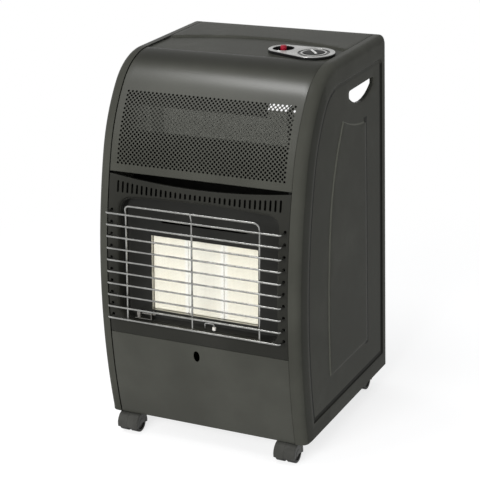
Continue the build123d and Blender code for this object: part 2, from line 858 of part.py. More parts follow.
with BuildPart() as heat_shield:
    with BuildSketch(Plane.XY.offset(shield_low)):
        add(
            folded_face(
                [
                    (-sheet_half, shield_face + shield_flange),
                    (-sheet_half, shield_face),
                    (sheet_half, shield_face),
                    (sheet_half, shield_face + shield_flange),
                ],
                sheet,
            )
        )
    extrude(amount=shield_high - shield_low)
export(heat_shield, "heat_shield")

baffle_y = shield_face - seat
with BuildPart() as top_baffle:
    with BuildSketch(Plane.YZ.offset(-sheet_half)):
        add(
            folded_face(
                [
                    (baffle_y, shield_high - baffle_lap),
                    (baffle_y, shield_high),
                    baffle_top,
                    (baffle_top[0] + baffle_lip, baffle_top[1]),
                ],
                sheet,
            )
        )
    extrude(amount=baffle_right + sheet_half)
export(top_baffle, "top_baffle")

# -------------------------------------------------------- top cover and its rail
bezel_low = tray_top + seat
bezel_top = bezel_low + bezel_height
cup_low = tray_top - cup_depth
knob_well = knob_radius + knob_gap
cup_radii = ((knob_spot, knob_well + cup_wall), (button_spot, button_well + cup_wall))

with BuildPart() as top_cover:
    add(cover_block(0))
    add(cover_block(sheet), mode=Mode.SUBTRACT)
    for cup_spot, cup_radius in cup_radii:
        with Locations((*cup_spot, tray_top)):
            Hole(cup_radius + cup_hole_gap, depth=cover_skirt)
export(top_cover, "top_cover")

with BuildPart() as rear_rail:
    with BuildSketch(Plane.YZ.offset(-rail_half)):
        rail_back = rear_y - sheet - seat
        add(
            folded_face(
                [
                    (rail_back - rail_fold, rail_low),
                    (rail_back, rail_low),
                    (rail_back, rail_high),
                    (rail_back - rail_fold, rail_high),
                ],
                sheet,
            )
        )
    extrude(amount=2 * rail_half)
export(rear_rail, "rear_rail")

# ---------------------------------------------------- control bezel, knob, button
cup_floor = cup_low + cup_wall
knob_low = cup_floor + knob_push + push_margin
knob_high = bezel_top + knob_rise

with BuildPart() as control_bezel:
    with BuildSketch(Plane.XY.offset(bezel_low)):
        with Locations(knob_spot):
            Circle(bezel_large_radius)
        with Locations(button_spot):
            Circle(bezel_small_radius)
        make_hull()
    extrude(amount=bezel_height)
    chamfer(faces().sort_by(Axis.Z)[-1].edges(), bezel_round)
    with BuildSketch(Plane.XY.offset(cup_low)):
        for cup_spot, cup_radius in cup_radii:
            with Locations(cup_spot):
                Circle(cup_radius)
    extrude(amount=bezel_low - cup_low)
    with Locations((*knob_spot, bezel_top)):
        Hole(dial_radius, depth=dial_step)
        Hole(knob_well, depth=bezel_top - cup_floor)
        Hole(spindle_radius + knob_gap, depth=2 * cup_depth + bezel_height)
    with Locations((*button_spot, bezel_top)):
        Hole(button_well, depth=bezel_top - cup_floor)
        Hole(button_stem_radius + knob_gap, depth=2 * cup_depth + bezel_height)
export(control_bezel, "control_bezel")

# The pointer bar and the flat of the spindle turn with the knob.
knob_plane = Plane(origin=(*knob_spot, knob_high), x_dir=Vector(1, 0, 0).rotate(Axis.Z, pointer_turn))


def spindle_face(grow):
    """Round of the spindle with its flat."""
    with BuildSketch() as face:
        Circle(spindle_radius + grow)
        with Locations((0, 2 * spindle_radius - spindle_flat + grow)):
            Rectangle(4 * spindle_radius, 2 * spindle_radius, mode=Mode.SUBTRACT)
    return face.sketch


with BuildPart() as control_knob:
    with BuildSketch(knob_plane):
        Circle(knob_radius)
    extrude(amount=knob_low - knob_high)
    chamfer(faces().sort_by(Axis.Z)[-1].edges(), pointer_sink)
    with BuildSketch(knob_plane):
        SlotOverall(pointer_length + 2 * running_gap, pointer_width + 2 * running_gap)
    extrude(amount=-pointer_sink - running_gap, mode=Mode.SUBTRACT)
    with BuildSketch(knob_plane.offset(knob_low - knob_high)):
        add(spindle_face(running_gap))
    extrude(amount=spindle_reach, mode=Mode.SUBTRACT)
export(control_knob, "control_knob")

with BuildPart() as knob_pointer:
    with BuildSketch(knob_plane.offset(-pointer_sink)):
        SlotOverall(pointer_length, pointer_width)
    extrude(amount=pointer_sink + pointer_rise)
    chamfer(faces().sort_by(Axis.Z)[-1].edges(), pointer_rise / 2)
export(knob_pointer, "knob_pointer")

button_high = bezel_top + button_rise
button_low = cup_floor + button_travel + push_margin
piezo_top = bracket_level - bracket_sheet - seat

with BuildPart() as igniter_button:
    with BuildSketch(Plane.XY.offset(button_low)):
        with Locations(button_spot):
            Circle(button_radius)
    extrude(amount=button_high - button_low)
    chamfer(faces().sort_by(Axis.Z)[-1].edges(), button_edge)
    with BuildSketch(Plane.XY.offset(piezo_bore_floor + button_travel + push_margin)):
        with Locations(button_spot):
            Circle(button_stem_radius)
    extrude(amount=button_low - piezo_bore_floor - button_travel - push_margin)
export(igniter_button, "igniter_button")

# ------------------------------------------------- gas valve, igniter, bracket
neck_top = bracket_level + neck_height
plug_low = neck_top - plug_height
plug_bore_floor = plug_low + plug_floor

with BuildPart() as gas_valve_body:
    with BuildSketch(Plane.XY.offset(valve_low)):
        with Locations(knob_spot):
            Circle(valve_radius)
    extrude(amount=piezo_top - valve_low)
    with BuildSketch(Plane.XY.offset(piezo_top)):
        with Locations(knob_spot):
            Circle(neck_radius)
    extrude(amount=neck_top - piezo_top)
    # port for the hose nozzle at the back
    with BuildSketch(Plane.XZ.offset(-knob_spot[1])):
        with Locations((knob_spot[0], port_height)):
            Circle(port_radius)
    extrude(amount=-valve_radius - port_length)
    # bore of the plug, gas ways to the nozzle and to the pipe
    with Locations((*knob_spot, neck_top)):
        Hole(plug_radius + running_gap, depth=plug_height + running_gap)
        Hole(pipe_bore, depth=neck_top - valve_low)
    with BuildSketch(Plane.XZ.offset(-knob_spot[1])):
        with Locations((knob_spot[0], port_height)):
            Circle(nozzle_bore)
    extrude(amount=-valve_radius - port_length, mode=Mode.SUBTRACT)
export(gas_valve_body, "gas_valve_body")

with BuildPart() as valve_plug:
    with BuildSketch(Plane.XY.offset(plug_low)):
        with Locations(knob_spot):
            Circle(plug_radius)
    extrude(amount=plug_height)
    with BuildSketch(knob_plane.offset(neck_top - knob_high)):
        add(spindle_face(running_gap))
    extrude(amount=plug_floor - plug_height, mode=Mode.SUBTRACT)
export(valve_plug, "valve_plug")

with BuildPart() as valve_spindle:
    spindle_low = plug_bore_floor + knob_push + push_margin
    spindle_high = knob_low + spindle_reach - running_gap
    with BuildSketch(knob_plane.offset(spindle_low - knob_high)):
        add(spindle_face(0))
    extrude(amount=spindle_high - spindle_low)
export(valve_spindle, "valve_spindle")

with BuildPart() as piezo_igniter:
    with BuildSketch(Plane.XY.offset(piezo_low)):
        with Locations(button_spot):
            Circle(piezo_radius)
    extrude(amount=piezo_top - piezo_low)
    with BuildSketch(Plane.XY.offset(piezo_top)):
        with Locations(button_spot):
            Circle(neck_radius)
    extrude(amount=neck_top - piezo_top)
    with Locations((*button_spot, neck_top)):
        Hole(button_stem_radius + running_gap, depth=neck_top - piezo_bore_floor)
    # blade terminal at the lower end
    with Locations((*button_spot, piezo_low - 3.0)):
        Box(4.0, 0.8, 8.0)
export(piezo_igniter, "piezo_igniter")

with BuildPart() as valve_bracket:
    with BuildSketch(Plane.XZ.offset(-(knob_spot[1] + button_spot[1]) / 2)):
        ear_level = tray_top - sheet - seat
        add(
            folded_face(
                [
                    (bracket_right + bracket_ear, ear_level),
                    (bracket_right, ear_level),
                    (bracket_right, bracket_level),
                    (bracket_left, bracket_level),
                    (bracket_left, ear_level),
                    (bracket_left - bracket_ear, ear_level),
                ],
                bracket_sheet,
            )
        )
    extrude(amount=bracket_half_depth, both=True)
    for hole_spot in (knob_spot, button_spot):
        with Locations((*hole_spot, bracket_level + bracket_sheet)):
            Hole(neck_radius + seat, depth=3 * bracket_sheet)
export(valve_bracket, "valve_bracket")

nozzle_start = knob_spot[1] + valve_radius + port_length + seat

with BuildPart() as hose_inlet:
    with BuildSketch(Plane.XZ.offset(-nozzle_start)):
        with Locations((knob_spot[0], port_height)):
            RegularPolygon(nut_across / 2, 6, major_radius=False)
    extrude(amount=-nut_length)
    with BuildSketch(Plane.XZ.offset(-nozzle_start - nut_length)):
        with Locations((knob_spot[0], port_height)):
            Circle(nozzle_radius)
    extrude(amount=-nozzle_length - nozzle_lead)
    chamfer(faces().sort_by(Axis.Y)[-1].edges(), nozzle_lead)
    with BuildSketch(Plane.XZ.offset(-nozzle_start)):
        with Locations((knob_spot[0], port_height)):
            Circle(nozzle_bore)
    extrude(amount=-nut_length - nozzle_length, mode=Mode.SUBTRACT)
export(hose_inlet, "hose_inlet")

# Injector block at the end of the mixer neck; its jet points into the neck.
injector_low = neck_centre.Z - injector_size / 2
with BuildPart() as gas_injector:
    with Locations((injector_x, neck_centre.Y, neck_centre.Z)):
        Box(injector_size, injector_size, injector_size)
    with BuildSketch(Plane.YZ.offset(injector_x - injector_size / 2)):
        with Locations((neck_centre.Y, neck_centre.Z)):
            Circle(plenum_neck - 2.5 * sheet)
    extrude(amount=-injector_size / 2)
    chamfer(faces().sort_by(Axis.X)[0].edges(), sheet)
export(gas_injector, "gas_injector")

with BuildPart() as gas_pipe:
    with BuildLine() as pipe_path:
        pipe_end_z = neck_centre.Z + injector_size / 2 + seat
        FilletPolyline(
            (*knob_spot, valve_low - seat),
            (*knob_spot, pipe_cross),
            (knob_spot[0], pipe_front_y, pipe_cross),
            (knob_spot[0], pipe_front_y, pipe_end_z + 5.0 * pipe_bend),
            (knob_spot[0], neck_centre.Y, pipe_end_z + 1.5 * pipe_bend),
            (knob_spot[0], neck_centre.Y, pipe_end_z),
            radius=pipe_bend,
        )
    with BuildSketch(Plane(pipe_path.line @ 0, x_dir=(1, 0, 0), z_dir=pipe_path.line % 0)):
        RegularPolygon(pipe_radius, wire_sides, major_radius=False, rotation=half_side)
    sweep(path=pipe_path.line)
export(gas_pipe, "gas_pipe")

# ---------------------------------------------------------- pilot and electrode
# The pilot parts stand on the lower wall of the reflector pan.
with BuildPart() as pilot_bracket:
    with BuildSketch(Plane.XZ.offset(-pilot_y)):
        add(
            folded_face(
                [
                    (pilot_x - pilot_foot, pilot_floor),
                    (pilot_x + pilot_arm, pilot_floor),
                    (pilot_x + pilot_arm, pilot_axis + 5.0),
                ],
                sheet,
            )
        )
    extrude(amount=pilot_half_depth, both=True)
    with BuildSketch(Plane.YZ.offset(pilot_x + pilot_arm)):
        with Locations((pilot_y, pilot_axis)):
            Circle(couple_radius + running_gap)
    extrude(amount=-2 * sheet, mode=Mode.SUBTRACT)
export(pilot_bracket, "pilot_bracket")

with BuildPart() as pilot_burner:
    pilot_seat = pilot_floor + sheet + seat
    with BuildSketch(Plane.XY.offset(pilot_seat)):
        with Locations((pilot_x, pilot_y)):
            Circle(pilot_radius)
    extrude(amount=pilot_high - pilot_seat)
    chamfer(faces().sort_by(Axis.Z)[-1].edges(), pilot_radius / 2)
    # flame port towards the plaques
    with Locations((pilot_x + pilot_radius, pilot_y, pilot_axis)):
        Box(pilot_radius, 2.4, 5.0, mode=Mode.SUBTRACT)
export(pilot_burner, "pilot_burner")

with BuildPart() as thermocouple:
    with BuildSketch(Plane.YZ.offset(pilot_x + pilot_radius + 1.5)):
        with Locations((pilot_y, pilot_axis)):
            Circle(couple_radius)
    extrude(amount=couple_length)
    chamfer(faces().sort_by(Axis.X)[0].edges(), couple_radius / 2)
export(thermocouple, "thermocouple")

with BuildPart() as electrode_insulator:
    with BuildSketch(Plane.XY.offset(electrode_floor)):
        with Locations((electrode_x, electrode_y)):
            Circle(insulator_radius)
    extrude(amount=insulator_height)
    chamfer(faces().sort_by(Axis.Z)[-1].edges(), 0.8)
    with Locations((electrode_x, electrode_y, electrode_floor + insulator_height)):
        Hole(electrode_radius + running_gap, depth=insulator_height / 2)
export(electrode_insulator, "electrode_insulator")

with BuildPart() as spark_electrode:
    with BuildLine() as electrode_path:
        electrode_top = electrode_floor + electrode_height
        FilletPolyline(
            (electrode_x, electrode_y, electrode_floor + 0.6 * insulator_height),
            (electrode_x, electrode_y, electrode_top),
            (electrode_x - electrode_span, electrode_y, electrode_top),
            (electrode_x - electrode_span, electrode_y, electrode_floor + 1.5),
            radius=electrode_bend,
        )
    with BuildSketch(Plane(electrode_path.line @ 0, z_dir=electrode_path.line % 0)):
        RegularPolygon(electrode_radius, wire_sides)
    sweep(path=electrode_path.line)
export(spark_electrode, "spark_electrode")

# -------------------------------------------------------------------- rear cover
cover_half = flange_x - cover_side_gap
cover_back = rear_y - seat
tray_level = ground_clearance + sheet + seat
tray_floor = tray_level + tray_sheet
cover_low = tray_level + tray_rim + seat
louvre_middle = louvre_first + (louvre_rows - 1) * louvre_pitch / 2

with BuildPart() as rear_cover:
    with BuildSketch(Plane.XZ.offset(-cover_back)):
        with Locations((0, (cover_low + cover_high) / 2)):
            Rectangle(2 * cover_half, cover_high - cover_low)
    extrude(amount=cover_fold)
    fillet(edges().filter_by(Axis.Z).sort_by(Axis.Y)[-2:], fold_radius)
    with BuildSketch(Plane.XZ.offset(-cover_back + sheet)):
        with Locations((0, (cover_low + cover_high) / 2)):
            Rectangle(2 * (cover_half - sheet), cover_high - cover_low - 2 * sheet)
    extrude(amount=cover_fold, mode=Mode.SUBTRACT)
    with BuildSketch(Plane.XZ.offset(-cover_back)):
        with Locations((0, louvre_middle)):
            with GridLocations(2 * louvre_x, louvre_pitch, 2, louvre_rows):
                Rectangle(louvre_length, louvre_width)
        with Locations((0, finger_height)):
            SlotOverall(*finger_hole)
    extrude(amount=2 * sheet, mode=Mode.SUBTRACT)
export(rear_cover, "rear_cover")

# --------------------------------------------------------------------- base tray
tray_half = half_width - sheet - tray_side_gap
tray_front = front_y(panel_bottom, front_inset) + fold_depth + 2 * seat
tray_back = rear_y - sheet - seat
tray_middle = (tray_front + tray_back) / 2
caster_half_track = half_width - caster_side_margin
caster_front_y = front_y(panel_bottom) + caster_front_margin
caster_rear_y = rear_y - caster_rear_margin
caster_spots = [
    ("front_left", -caster_half_track, caster_front_y),
    ("front_right", caster_half_track, caster_front_y),
    ("rear_left", -caster_half_track, caster_rear_y),
    ("rear_right", caster_half_track, caster_rear_y),
]
screw_spots = [(side * screw_x, y) for side in (-1, 1) for y in screw_spots_y]

with BuildPart() as base_tray:
    with BuildSketch(Plane.XY.offset(tray_level)):
        with Locations((0, tray_middle)):
            RectangleRounded(2 * tray_half, tray_back - tray_front, tray_corner)
    extrude(amount=tray_rim)
    with BuildSketch(Plane.XY.offset(tray_floor)):
        with Locations((0, tray_middle)):
            RectangleRounded(
                2 * (tray_half - tray_sheet),
                tray_back - tray_front - 2 * tray_sheet,
                tray_corner - tray_sheet,
            )
    extrude(amount=tray_rim, mode=Mode.SUBTRACT)
    # pressed ribs under the gas bottle
    with BuildSketch(Plane.XY.offset(tray_floor)):
        with Locations((0, bottle_y)):
            with GridLocations(1, floor_rib_pitch, 1, 3):
                Rectangle(*floor_rib)
    extrude(amount=floor_rib_rise)
    # caster sockets
    with BuildSketch(Plane.XY.offset(tray_level)):
        with Locations([(x, y) for _, x, y in caster_spots]):
            Circle(socket_radius)
    extrude(amount=socket_height)
    with Locations([(x, y, tray_level + socket_height) for _, x, y in caster_spots]):
        Hole(stem_radius + running_gap, depth=2 * socket_height)
    with Locations([(*spot, tray_floor) for spot in screw_spots]):
        Hole(screw_radius + screw_gap, depth=2 * tray_sheet)
export(base_tray, "base_tray")

with BuildPart() as cabinet_screws:
    with BuildSketch(Plane.XY.offset(ground_clearance - seat)):
        with Locations(screw_spots):
            RegularPolygon(screw_head_radius, 6)
    extrude(amount=-screw_head)
    with BuildSketch(Plane.XY.offset(ground_clearance - seat)):
        with Locations(screw_spots):
            Circle(screw_radius)
    extrude(amount=screw_length)
export(cabinet_screws, "cabinet_screws")

# ----------------------------------------------------------------------- casters
hood_radius = wheel_radius + hood_gap + hood_wall
pocket_radius = wheel_radius + hood_gap
pocket_width = wheel_width + 2 * wheel_gap
hood_half = hub_web / 2 + pocket_width + hood_wall
hood_top = wheel_radius + hood_radius

for caster_name, caster_x, caster_y in caster_spots:
    wheel_y = caster_y - caster_trail
    with BuildPart() as housing:
        # drum of the hood, cut off below, and the boss under the stem
        with BuildSketch(Plane.YZ.offset(caster_x - hood_half)):
            with Locations((wheel_y, wheel_radius)):
                Circle(hood_radius)
            with Locations((wheel_y, hood_cut - hood_radius)):
                Rectangle(3 * hood_radius, 2 * hood_radius, mode=Mode.SUBTRACT)
        extrude(amount=2 * hood_half)
        drum_ends = faces().filter_by(Axis.X).edges().filter_by(GeomType.CIRCLE)
        chamfer(drum_ends, hood_round)
        with BuildSketch(Plane.XY.offset(hood_cut + hood_round)):
            with Locations((caster_x, caster_y)):
                Circle(boss_radius)
        extrude(amount=hood_top - hood_cut - hood_round)
        # pockets of the two wheels
        for pocket_x in (caster_x + hub_web / 2, caster_x - hub_web / 2 - pocket_width):
            with BuildSketch(Plane.YZ.offset(pocket_x)):
                with Locations((wheel_y, wheel_radius)):
                    Circle(pocket_radius)
            extrude(amount=pocket_width, mode=Mode.SUBTRACT)
        # swivel stem and axle bore
        with BuildSketch(Plane.XY.offset(hood_top)):
            with Locations((caster_x, caster_y)):
                Circle(stem_radius)
        extrude(amount=stem_top - hood_top)
        with BuildSketch(Plane.YZ.offset(caster_x - hub_web)):
            with Locations((wheel_y, wheel_radius)):
                Circle(axle_radius + running_gap)
        extrude(amount=2 * hub_web, mode=Mode.SUBTRACT)
    export(housing, f"caster_{caster_name}_housing")

    with BuildPart() as axle:
        axle_half = hub_web / 2 + wheel_gap + wheel_width - wheel_dish
        with BuildSketch(Plane.YZ.offset(caster_x - axle_half)):
            with Locations((wheel_y, wheel_radius)):
                Circle(axle_radius)
        extrude(amount=2 * axle_half)
    export(axle, f"caster_{caster_name}_axle")

    for wheel_name, wheel_sign in (("left", -1), ("right", 1)):
        with BuildPart() as wheel:
            inner_x = caster_x + wheel_sign * (hub_web / 2 + wheel_gap)
            with BuildSketch(Plane.YZ.offset(inner_x)):
                with Locations((wheel_y, wheel_radius)):
                    Circle(wheel_radius)
            extrude(amount=wheel_sign * wheel_width)
            # dished outer face and bore
            with BuildSketch(Plane.YZ.offset(inner_x + wheel_sign * wheel_width)):
                with Locations((wheel_y, wheel_radius)):
                    Circle(wheel_dish_radius)
            extrude(amount=-wheel_sign * wheel_dish, mode=Mode.SUBTRACT)
            with BuildSketch(Plane.YZ.offset(inner_x)):
                with Locations((wheel_y, wheel_radius)):
                    Circle(axle_radius + running_gap)
            extrude(amount=wheel_sign * wheel_width, mode=Mode.SUBTRACT)
        export(wheel, f"caster_{caster_name}_wheel_{wheel_name}")
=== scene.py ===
"""Portable gas cabinet heater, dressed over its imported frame.

Metres, +Z up, the guard faces -Y.  Lengths inside the functions are millimetres;
Shell.build turns them into metres.
"""

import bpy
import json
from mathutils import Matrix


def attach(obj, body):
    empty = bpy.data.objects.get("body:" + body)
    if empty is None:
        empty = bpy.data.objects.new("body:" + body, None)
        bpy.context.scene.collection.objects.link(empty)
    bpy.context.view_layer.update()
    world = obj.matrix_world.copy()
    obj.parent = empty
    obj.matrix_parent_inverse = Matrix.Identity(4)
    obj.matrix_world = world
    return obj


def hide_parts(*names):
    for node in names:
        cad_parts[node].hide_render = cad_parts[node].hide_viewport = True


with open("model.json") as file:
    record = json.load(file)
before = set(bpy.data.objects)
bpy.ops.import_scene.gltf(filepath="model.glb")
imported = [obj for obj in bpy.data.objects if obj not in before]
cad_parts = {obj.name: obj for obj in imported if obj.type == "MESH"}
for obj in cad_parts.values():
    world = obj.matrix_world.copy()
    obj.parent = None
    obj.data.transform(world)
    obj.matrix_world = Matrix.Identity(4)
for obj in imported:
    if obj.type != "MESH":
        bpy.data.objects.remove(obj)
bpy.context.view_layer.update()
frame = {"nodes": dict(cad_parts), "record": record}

import json
from math import acos, asin, atan2, cos, pi, radians, sin, tan

import bmesh
import bpy
import numpy as np
from mathutils import Matrix, Vector
from mathutils.geometry import delaunay_2d_cdt

bl_info = {
    "name": "Gas cabinet heater",
    "version": (1, 0, 0),
    "blender": (4, 5, 0),
    "location": "View3D > Sidebar > Heater",
    "description": "Builds the dressed pieces of a portable gas cabinet heater on its frame",
    "category": "Add Mesh",
}

MM = 0.001

# Front curve of the cabinet in side view: centre y, centre z, radius, first and last angle.
CURVE = (
    (960.0, 259.88, 1165.0, -pi / 2, radians(15.1)),
    (158.66, 476.08, 335.0, radians(15.1), radians(38.4)),
    (-9.05, 609.0, 121.0, radians(38.4), pi / 2),
)
# Length along the curve, from its foremost point, at which its arcs start and the last ends.
SECOND_ARC = CURVE[1][3] * CURVE[0][2]
THIRD_ARC = SECOND_ARC + (CURVE[1][4] - CURVE[1][3]) * CURVE[1][2]
CURVE_END = THIRD_ARC + (CURVE[2][4] - CURVE[2][3]) * CURVE[2][2]

HALF_WIDTH, REAR, BOTTOM, TOP = 210.0, 225.0, 41.0, 730.0
EDGE_ROUND = 14.0                        # rounding between a side panel and its rim
STEP_DROP, STEP_START, STEP_RUN = 2.0, -1.0, 3.2    # pressed step of a side panel
SHADE_FAR, SHADE_NEAR = 9.7, 7.2           # where the painted shade at a step's foot ends and fades
HAND_ROUND = 2.0                         # rounding of the hand hole's edge

PANEL_HALF, PANEL_INSET = 186.2, 1.2     # front panels: half width, depth under the curve
PANEL_ROUND, PANEL_DEPTH = 1.6, 13.0     # rounding and depth of their turned-in edges
LOWER_TOP, FASCIA_FOOT, MESH_FOOT = 218.5, 219.3, 530.5

LEAN, DRAW = radians(4.0), radians(8.0)  # lean of burner and guard, draw of the recess
BURNER_FOOT = (-163.0, 262.0)            # lower front edge of the plaques, y and z
SKIN_OUT = 44.0                          # height above the plaques where the draw is nil
COLLAR_ROLL, COLLAR_OUT = 6.0, 26.3
WINDOW = (-111.4, 111.4, -0.3, 146.3)    # opening round the plaques, across and up

GUARD_FOOT = (-223.25, 257.0)            # lowest cross wire, y and z
WIRES, WIRE_PITCH, GUARD_HALF, UPRIGHT_X = 10, 22.7, 178.0, 137.0

DECK = 727.0                             # height of the top cover's tray
DIAL, BUTTON = np.array((142.0, 32.0)), np.array((75.0, 45.0))
DIAL_ROUND, BUTTON_ROUND = 40.0, 29.0    # bezel's radii round dial and button
BEZEL_TOP = 733.25


# ------------------------------------------------------------------ curve and loops
def xy(x, y):
    return np.stack(np.broadcast_arrays(np.asarray(x, float), y), -1)


def xyz(x, y, z):
    return np.stack(np.broadcast_arrays(np.asarray(x, float), y, z), -1)


def quarter(count):
    """Angles from 0 to 90 degrees, in radians."""
    return np.radians(np.linspace(0, 90, count))


def full_turn(count, start=0.0):
    return 2 * pi * (np.arange(count) + start) / count


def ease(t):
    """Half a cosine wave from 0 to 1."""
    return (1 - np.cos(np.clip(t, 0, 1) * pi)) / 2


def front_point(run, depth):
    """(y, z) at a length along the front curve, moved inwards by depth.

    Each arc turns by length over radius; the point lies at its centre minus the
    radius times the cosine in y, plus the radius times the sine in z.
    """
    run, depth = np.broadcast_arrays(np.asarray(run, float), depth)
    pick = [run < SECOND_ARC, run < THIRD_ARC]
    angles = [run / CURVE[0][2], CURVE[1][3] + (run - SECOND_ARC) / CURVE[1][2]]
    angle = np.select(pick, angles, CURVE[2][3] + (run - THIRD_ARC) / CURVE[2][2])
    cy, cz, radius = (np.select(pick, [CURVE[0][k], CURVE[1][k]], CURVE[2][k]) for k in range(3))
    return cy - (radius - depth) * np.cos(angle), cz + (radius - depth) * np.sin(angle)


def height_run(z, depth):
    """Length along the front curve at a height, on the curve moved inwards by depth."""
    z = np.asarray(z, float)
    out = []
    for (_, cz, radius, low, _), start in zip(CURVE, (0.0, SECOND_ARC, THIRD_ARC)):
        angle = np.arcsin(np.clip((z - cz) / (radius - depth), -1.0, 1.0))
        out.append(start + (angle - (low if start else 0.0)) * radius)
    return np.select([out[0] < SECOND_ARC, out[1] < THIRD_ARC], out[:2], out[2])


def panel_run(z):
    return height_run(z, PANEL_INSET)


def line(a, b, count):
    """Points from a to b, without b."""
    t = np.arange(count)[:, None] / count
    return np.asarray(a, float) * (1 - t) + np.asarray(b, float) * t


def arc(centre, radius, start, end, count):
    """Points on an arc between two angles in degrees, without the last one."""
    a = np.radians(start + (end - start) * np.arange(count) / count)
    return np.asarray(centre, float) + radius * xy(np.cos(a), np.sin(a))


def circle(x, y, radius, count):
    return arc((x, y), radius, 0, 360, count)


def arc_through(a, b, c, count):
    """Points on the circle through a, b and c, from a to c without c.

    The centre is where the bisectors of ab and bc cross.
    """
    (ax, ay), (bx, by), (cx, cy) = a, b, c
    d = 2 * (ax * (by - cy) + bx * (cy - ay) + cx * (ay - by))
    aa, bb, cc = ax**2 + ay**2, bx**2 + by**2, cx**2 + cy**2
    ux = (aa * (by - cy) + bb * (cy - ay) + cc * (ay - by)) / d
    uy = (aa * (cx - bx) + bb * (ax - cx) + cc * (bx - ax)) / d
    angles = np.degrees(np.unwrap([atan2(p[1] - uy, p[0] - ux) for p in (a, b, c)]))
    return arc((ux, uy), np.hypot(ax - ux, ay - uy), angles[0], angles[2], count)


def sag(x, half, dip):
    """How far a circle has risen at x from its lowest point, when it rises by dip at half."""
    radius = (half**2 + dip**2) / (2 * dip)
    return radius - np.sqrt(radius**2 - np.asarray(x, float) ** 2)


def bowed(half, dip, count):
    """The same circle at even angles: x and rise, from -half to half."""
    radius = (half**2 + dip**2) / (2 * dip)
    spread = asin(half / radius)
    a = np.linspace(-spread, spread, count)
    return xy(radius * np.sin(a), radius * (1 - np.cos(a)))


def rounded(corners, radii, count=6, side=10):
    """Closed loop through corner points, each rounded by an arc of its radius.

    An arc touches both sides at radius / tan(half the corner's angle) from the
    corner and has its centre on the bisector.
    """
    corners = [np.asarray(c, float) for c in corners]
    arcs = []
    for k, corner in enumerate(corners):
        before, after = corners[k - 1] - corner, corners[(k + 1) % len(corners)] - corner
        before, after = before / np.hypot(*before), after / np.hypot(*after)
        half = acos(np.clip(before @ after, -1, 1)) / 2
        bisector = (before + after) / np.hypot(*(before + after))
        centre = corner + bisector * radii[k] / sin(half)
        ends = [corner + way * radii[k] / tan(half) - centre for way in (before, after)]
        a = np.unwrap([atan2(y, x) for x, y in ends])
        t = a[0] + (a[1] - a[0]) * np.arange(count + 1) / count
        arcs.append(centre + radii[k] * xy(np.cos(t), np.sin(t)))
    out = []
    for points, following in zip(arcs, arcs[1:] + arcs[:1]):
        out += [points[:-1], line(points[-1], following[0], side)]
    return np.concatenate(out)


def box_loop(left, right, low, high, radius, count, side):
    """Rectangle with rounded corners."""
    corners = [(left, low), (right, low), (right, high), (left, high)]
    return rounded(corners, [radius] * 4, count, side)


def outwards(loop):
    """Unit normals of a closed flat loop, away from what it encloses."""
    ahead = np.roll(loop, -1, 0) - np.roll(loop, 1, 0)
    normal = xy(ahead[:, 1], -ahead[:, 0])
    area = np.sum(loop[:, 0] * np.roll(loop[:, 1], -1) - loop[:, 1] * np.roll(loop[:, 0], -1))
    return normal / np.linalg.norm(normal, axis=1)[:, None] * (1 if area > 0 else -1)


def inside(points, loop):
    """Whether points lie in a closed loop: an odd number of its sides lies to their right."""
    a, b = loop, np.roll(loop, -1, 0)
    x, y = points[:, 0, None], points[:, 1, None]
    crosses = (a[None, :, 1] > y) != (b[None, :, 1] > y)
    slope = (b[:, 0] - a[:, 0]) / np.where(b[:, 1] == a[:, 1], 1e-9, b[:, 1] - a[:, 1])
    return (np.sum(crosses & (x < a[:, 0] + slope * (y - a[:, 1])), 1) % 2) == 1


def inner_grid(outline, holes, step_x, step_y):
    """Points of an even grid that lie in an outline and in none of its holes."""
    low, high = outline.min(0), outline.max(0)
    x, y = np.meshgrid(np.arange(low[0] + step_x, high[0], step_x),
                       np.arange(low[1] + step_y, high[1], step_y))
    spots = xy(x.ravel(), y.ravel())
    keep = inside(spots, outline)
    for hole in holes:
        keep &= ~inside(spots, hole)
    return spots[keep]


def border(x, up, low, high):
    """Flat outline along x at low, up the right edge, back along high and down the left,
    with outward normals that are the sum of both sides' normals at a corner."""
    runs = [xy(x[:-1], low), xy(x[-1], up[:-1]), xy(x[:0:-1], high), xy(x[0], up[:0:-1])]
    ways = np.array([(0.0, -1.0), (1.0, 0.0), (0.0, 1.0), (-1.0, 0.0)])
    normals = np.concatenate([np.tile(way, (len(run), 1)) for way, run in zip(ways, runs)])
    normals[np.cumsum([0] + [len(run) for run in runs[:3]])] = ways + np.roll(ways, 1, 0)
    return np.concatenate(runs), normals


